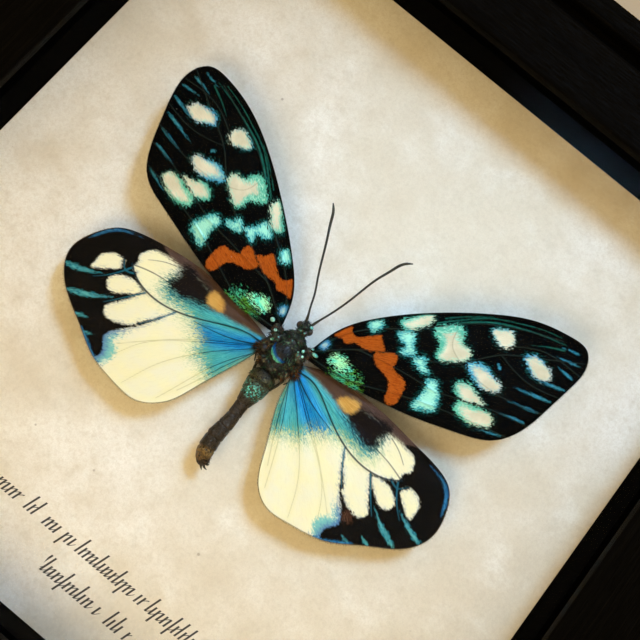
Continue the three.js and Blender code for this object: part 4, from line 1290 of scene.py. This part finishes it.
def furOn(roots, normals, lean, length, radius, seed, spread=0.3, droop=0.15):
    # bristles from the roots, along the normals bent by the lean and askew by the spread
    rng = np.random.default_rng(seed)
    directions = normals + lean + rng.normal(0, spread, roots.shape)
    lengths = length * rng.uniform(0.45, 1.2, len(roots))
    return withFields(hairs(roots - 0.05 * normals, directions, lengths, radius, droop),
                      tone=np.repeat(rng.uniform(0, 1, len(roots)), 7))


def trunkFur(shape, run, fromRun, toRun, count, lean, length, radius, seed):
    # bristles on the upper side of the trunk, between two distances along it
    rng = np.random.default_rng(seed)
    rings = shape["points"][:-2].reshape(len(run), trunk["sides"], 3)
    rows = np.flatnonzero((run > fromRun) & (run < toRun))
    row, column = rng.choice(rows, count), rng.integers(0, trunk["sides"], count)
    centres = rings.mean(axis=1)
    normals = rings[row, column] - centres[row]
    normals /= np.linalg.norm(normals, axis=1, keepdims=True)
    kept = normals[:, 2] > -0.35
    return furOn(rings[row, column][kept], normals[kept], np.array(lean), length, radius, seed + 1)


def lumpFur(centre, radii, count, lean, length, radius, seed):
    # bristles standing out of a lump, on all but its under side
    rng = np.random.default_rng(seed)
    normals = rng.normal(0, 1, (count, 3))
    normals /= np.linalg.norm(normals, axis=1, keepdims=True)
    normals = normals[normals[:, 2] > -0.3]
    roots = np.array(centre) + normals * np.array(radii) * 0.95
    return furOn(roots, normals, np.array(lean), length, radius, seed + 1)


def bodyMaterial():
    # dark chitin: olive and blue-green scales on the first rings, brown behind, an ochre tip
    material, tree, shader, _ = newMaterial("chitin")
    place = objectPlace(tree)
    run = attribute(tree, "run")
    fine = noise(tree, place, 3.2, 4.0, 0.65)
    coarse = noise(tree, place, 0.9, 3.0, 0.6)
    _, (fleck, *_) = chances(tree, place, 4.2)
    colour = blendColours(tree, eased(tree, coarse, 0.35, 0.7), paint(2, 2, 2), paint(14, 11, 8))
    leafy = times(tree, eased(tree, run, 7.5, 9.5, 1.0, 0.0), eased(tree, fleck, 0.72, 0.86))
    mossy = blendColours(tree, coarse, paint(24, 92, 60), paint(96, 82, 34))
    colour = blendColours(tree, leafy, colour, mossy)
    olive = times(tree, eased(tree, run, 10.2, 11.4), eased(tree, run, 14.4, 15.6, 1.0, 0.0))
    olive = times(tree, olive, eased(tree, fine, 0.42, 0.62))
    colour = blendColours(tree, olive, colour, paint(70, 64, 22))
    band = times(tree, eased(tree, run, 12.1, 13.7), eased(tree, run, 14.6, 15.3, 1.0, 0.0))
    sheen = times(tree, band, eased(tree, fleck, 0.42, 0.62))
    scales = blendColours(tree, eased(tree, fleck, 0.6, 1.0), paint(22, 112, 104), paint(120, 220, 212))
    colour = blendColours(tree, sheen, colour, scales)
    behind = eased(tree, run, 15.0, 16.2)
    brown = blendColours(tree, eased(tree, fine, 0.35, 0.65), paint(8, 5, 4), paint(38, 26, 17))
    brown = blendColours(tree, eased(tree, coarse, 0.5, 0.75, 0.0, 0.6), brown, paint(56, 38, 22))
    colour = blendColours(tree, behind, colour, brown)
    tip = times(tree, eased(tree, run, 24.4, 25.2), eased(tree, run, 26.4, 27.0, 1.0, 0.0))
    golden = blendColours(tree, coarse, paint(70, 50, 16), paint(146, 108, 40))
    colour = blendColours(tree, times(tree, tip, eased(tree, fine, 0.35, 0.6)), colour, golden)
    pits = sums(tree, "ADD", fine, times(tree, fleck, 0.3))
    wire(tree, shader, BaseColor=colour, Metallic=times(tree, sheen, 0.5), SpecularIORLevel=0.5,
         Roughness=eased(tree, fine, 0.3, 0.7, 0.24, 0.46), Normal=bumped(tree, pits, 0.00018, 1.0))
    return material


def hornMaterial(name, low, high, roughness, shine=0.5, metal=0.0, scale=None):
    # smooth horny parts: a cloudy colour with fine pits and, where a colour is given, a few
    # single scales of it
    material, tree, shader, _ = newMaterial(name)
    place = objectPlace(tree)
    coarse = noise(tree, place, 1.1, 3.0, 0.6)
    fine = noise(tree, place, 6.0, 3.0, 0.6)
    colour = blendColours(tree, eased(tree, coarse, 0.35, 0.65), low, high)
    if scale is not None:
        _, chance = chances(tree, place, 3.4)
        thick = eased(tree, coarse, 0.4, 0.6, 0.3, 1.0)
        shown = times(tree, eased(tree, chance[0], 0.8, 0.9), thick)
        scales = blendColours(tree, chance[1], scale, paint(128, 92, 40))
        colour = blendColours(tree, shown, colour, scales)
    wire(tree, shader, BaseColor=colour, Metallic=metal,
         Roughness=eased(tree, fine, 0.3, 0.7, roughness, roughness + 0.12), SpecularIORLevel=shine,
         Normal=bumped(tree, fine, 0.00004, 0.6))
    return material


def furMaterial(name, dark, middle, pale):
    # bristles of three colours, mixed by each bristle's own tone
    material, tree, shader, _ = newMaterial(name)
    tone = attribute(tree, "tone")
    worn = noise(tree, objectPlace(tree), 2.0, 2.0)
    colour = blendColours(tree, eased(tree, tone, 0.35, 0.7), dark, middle)
    colour = blendColours(tree, eased(tree, tone, 0.8, 0.95), colour, pale)
    wire(tree, shader, BaseColor=blendColours(tree, times(tree, worn, 0.4), colour, dark),
         Roughness=0.5, SpecularIORLevel=0.3)
    return material


def domeMaterial():
    # polished black back plate with blue-green scales along its rear left edge, painted brighter towards the
    # rim as a sheen
    material, tree, shader, _ = newMaterial("backPlate")
    place = objectPlace(tree)
    near = addNode(tree, "VectorMath", {0: place, 1: dome["sheenFrom"]}, operation="DISTANCE")
    near = near.outputs["Value"]
    fine = noise(tree, place, 2.2, 4.0, 0.6)
    # painted sheen: the crescent is placed by distance from one fixed point and turns pale mint towards the
    # rim
    sheen = eased(tree, sums(tree, "MULTIPLY_ADD", fine, 0.5, near), 2.5, 2.85)
    colour = blendColours(tree, eased(tree, near, 2.6, 3.1), paint(6, 84, 160), paint(120, 236, 200))
    colour = blendColours(tree, sheen, blendColours(tree, fine, paint(4, 5, 7), paint(30, 35, 40)), colour)
    wire(tree, shader, BaseColor=colour, Metallic=times(tree, sheen, 0.4),
         Roughness=eased(tree, fine, 0.3, 0.7, 0.12, 0.3), SpecularIORLevel=0.22,
         Normal=bumped(tree, fine, 0.0001, 0.6))
    return material


dome = dict(centre=(-0.25, -2.9, 6.35), radii=(1.75, 1.95, 0.95), sheenFrom=(1.9, -1.6, 19.8))
# centre and radii of each lump, in the moth's own axes
lumps = dict(
    eyes=[((-0.95, 2.4, 4.6), (0.58, 0.64, 0.66)), ((0.95, 2.4, 4.6), (0.58, 0.64, 0.66))],
    head=[((0.0, 3.2, 4.9), (0.62, 0.42, 0.5)), ((-0.35, 1.5, 5.5), (0.5, 0.6, 0.45)),
          ((0.5, 1.6, 5.5), (0.5, 0.55, 0.45)), ((-0.7, 0.2, 5.6), (0.75, 0.6, 0.55)),
          ((0.75, 0.1, 5.6), (0.75, 0.6, 0.55)), ((-0.2, -0.7, 6.3), (0.9, 0.5, 0.4))],
    joints=[((-3.1, -0.7, 5.4), (1.0, 1.0, 0.75)), ((2.9, -0.6, 5.4), (0.95, 1.0, 0.75)),
            ((-2.9, -3.4, 5.0), (0.9, 1.6, 0.8)), ((2.8, -3.3, 5.0), (0.9, 1.5, 0.8)),
            ((-1.9, -5.4, 5.4), (0.9, 0.9, 0.6)), ((1.9, -5.3, 5.4), (0.9, 0.9, 0.6)),
            ((2.3, -1.9, 6.2), (0.8, 0.9, 0.5)), ((-2.3, -1.7, 6.2), (0.7, 0.9, 0.5)),
            ((0.1, -5.6, 6.1), (1.3, 0.6, 0.45))],
    # knobs: metallic mint scale tufts whose pale, nearly white tone is partly a painted highlight
    knobs=[((-4.7, 0.1, 6.15), (0.4, 0.36, 0.3)), ((4.0, 0.0, 6.15), (0.6, 0.3, 0.3)),
           ((-3.3, -0.9, 6.1), (0.3, 0.26, 0.24)), ((2.6, -1.5, 6.5), (0.26, 0.22, 0.2)),
           ((0.85, 3.1, 5.2), (0.3, 0.24, 0.22)), ((2.2, -0.8, 6.6), (0.24, 0.3, 0.18)),
           ((1.7, -1.4, 7.0), (0.16, 0.14, 0.12)), ((-2.9, -2.4, 6.0), (0.2, 0.18, 0.16)),
           ((0.5, 1.6, 6.0), (0.15, 0.14, 0.12)), ((3.2, 0.5, 6.2), (0.2, 0.16, 0.14))],
)


# three short claspers curl out of the tip
clasperLines = (
    [(1.2, -23.0, 3.4), (1.8, -23.9, 3.5), (2.4, -24.0, 3.6)],
    [(1.0, -23.2, 3.3), (1.3, -24.1, 3.3), (1.8, -24.5, 3.3)],
    [(1.5, -23.1, 3.6), (2.0, -23.3, 3.9), (2.2, -23.1, 4.0)])
clasperTaper = ([0, 0.6, 1], [0.3, 0.2, 0.04])  # share of the length, radius


def lumpGroup(name, roughness, seed):
    return joined(*(lump(centre, radii, roughness, seed + k)
                    for k, (centre, radii) in enumerate(lumps[name])))


def makeBody():
    shape, run = bodyShape()
    darkFur = joined(
        trunkFur(shape, run, 2.3, 9.6, 1500, (0, -0.9, 0), 0.85, 0.045, 31),
        trunkFur(shape, run, 0.2, 1.8, 240, (0, 0.5, 0.2), 0.5, 0.035, 33),
        trunkFur(shape, run, 9.8, 12.2, 420, (0, -1.5, 0), 0.5, 0.035, 35),
        *(lumpFur(centre, radii, 130, (0, -0.3, 0.1), 0.55, 0.04, 40 + k)
          for k, (centre, radii) in enumerate(lumps["joints"] + lumps["head"])))
    sideFur = joined(
        *(lumpFur(centre, radii, 240, (0.5 * np.sign(centre[0]), -0.7, 0), 0.9, 0.04, 70 + k)
          for k, (centre, radii) in enumerate(lumps["joints"][:6])),
        lumpFur((3.3, -4.3, 5.1), (0.7, 0.7, 0.5), 260, (0.8, -0.7, 0), 0.9, 0.04, 80),
        lumpFur((-3.6, -4.6, 5.0), (0.7, 0.7, 0.5), 240, (-0.8, -0.7, 0), 0.9, 0.04, 82))
    tipFur = trunkFur(shape, run, 26.2, run[-1], 90, (1.6, -0.9, 0), 0.36, 0.03, 37)
    at = np.linspace(0, 1, 30)
    taper = np.interp(at, *clasperTaper)
    claspers = [tube(smoothLine(line, at), taper, 12) for line in clasperLines]
    makePiece("moth_trunk", ontoPaper(shape), bodyMaterial(), ["moth_body"])
    makePiece("moth_claspers", ontoPaper(joined(*claspers)), horn)
    lumpy = hornMaterial("joints", paint(4, 3, 3), paint(34, 23, 11), 0.36, 0.5, scale=paint(52, 148, 120))
    makePiece("moth_joints", ontoPaper(lumpGroup("joints", 0.3, 50)), lumpy)
    makePiece("moth_head", ontoPaper(lumpGroup("head", 0.25, 60)), lumpy)
    makePiece("moth_eyes", ontoPaper(lumpGroup("eyes", 0.02, 65)),
              hornMaterial("eyes", paint(20, 14, 10), paint(52, 38, 24), 0.3, 0.6))
    plate = lump(dome["centre"], dome["radii"], 0.05, 68, 40, 60)
    makePiece("moth_dome", ontoPaper(plate), domeMaterial())
    # the knobs' pale mint colour is partly real metallic scales and partly painted highlight
    makePiece("moth_knobs", ontoPaper(lumpGroup("knobs", 0.1, 69)),
              hornMaterial("knobs", paint(40, 150, 140), paint(190, 240, 222), 0.22, 0.7, 0.35))
    dark = furMaterial("darkFur", paint(2, 2, 2), paint(9, 17, 11), paint(36, 130, 92))
    makePiece("moth_fur", ontoPaper(darkFur), dark)
    rusty = furMaterial("rustyFur", paint(16, 10, 6), paint(70, 40, 14), paint(168, 104, 40))
    makePiece("moth_side_fur", ontoPaper(joined(sideFur, tipFur)), rusty)


horn = hornMaterial("horn", paint(20, 22, 16), paint(38, 40, 26), 0.34)
makeBody()
print("body made")


# Antennae and legs

feelers = dict(
    antenna_left=[(-0.7, 3.8, 5.0), (-1.4, 5.4, 5.2), (-2.3, 7.6, 5.35), (-3.4, 9.6, 5.45), (-4.6, 11.9, 5.6),
                  (-6.3, 15.4, 5.8), (-7.8, 18.3, 5.95), (-8.7, 20.0, 6.05), (-9.5, 20.9, 6.1)],
    antenna_right=[(0.7, 3.8, 5.0), (1.5, 6.2, 5.2), (2.4, 9.2, 5.35), (3.2, 12.9, 5.5), (3.9, 15.9, 5.65),
                   (4.8, 18.5, 5.8), (5.3, 19.9, 5.9), (5.9, 20.8, 6.0), (6.8, 21.5, 6.1)],
)
legs = dict(
    foreleg=[(0.8, -0.4, 2.1), (1.9, 0.6, 1.5), (2.5, -0.4, 1.0), (1.8, -2.4, 0.7)],
    midleg=[(1.5, -2.4, 1.5), (3.2, -2.0, 1.2), (3.9, -3.6, 0.9), (3.0, -6.4, 0.7)],
    hindleg=[(1.1, -5.0, 1.5), (2.4, -5.6, 1.2), (2.2, -7.6, 0.9), (1.0, -11.0, 0.7)],
)
# share of the length, radius
legRadii = [(0, 0.2), (0.08, 0.34), (0.3, 0.3), (0.36, 0.2), (0.42, 0.24), (0.66, 0.17), (0.7, 0.13),
            (0.98, 0.1), (1, 0.04)]
feelerForm = dict(rows=240, sides=14, joints=56, jointDepth=0.06,
                  radii=[(0, 0.2), (0.04, 0.24), (0.1, 0.17), (0.5, 0.18), (0.75, 0.21), (0.88, 0.25),
                         (0.95, 0.23), (1, 0.1)])


def makeFeelers(material):
    # each antenna is a slim bar of many short joints that thickens towards a bent, pointed tip
    at = np.linspace(0, 1, feelerForm["rows"])
    profile = np.array(feelerForm["radii"])
    joint = (at * feelerForm["joints"]) % 1
    narrowed = 1 - feelerForm["jointDepth"] * (1 - np.sin(np.pi * joint))
    radii = np.interp(at, profile[:, 0], profile[:, 1]) * narrowed
    for name, line in feelers.items():
        x, y, z = line[0]
        rooted = [(x * 0.72, y - 0.7, z - 0.25)] + line  # starts inside the head
        shape = tube(smoothLine(rooted, at), radii, feelerForm["sides"])
        makePiece(f"{name}_horn", ontoPaper(shape), material, [name])


def makeLegs(material):
    # each leg is a thicker thigh, a slim shin and a fine jointed foot
    at = np.linspace(0, 1, 90)
    profile = np.array(legRadii)
    radii = np.interp(at, profile[:, 0], profile[:, 1])
    radii = radii * (1 - 0.18 * (at > 0.7) * (np.sin(at * 95) > 0.6))
    for name, line in legs.items():
        for side, sign in (("left", -1), ("right", 1)):
            shape = tube(smoothLine([(sign * x, y, z) for x, y, z in line], at), radii, 12)
            makePiece(f"{name}_{side}_horn", ontoPaper(shape), material, [f"{name}_{side}"])


makeFeelers(horn)
makeLegs(horn)
print("antennae and legs made")
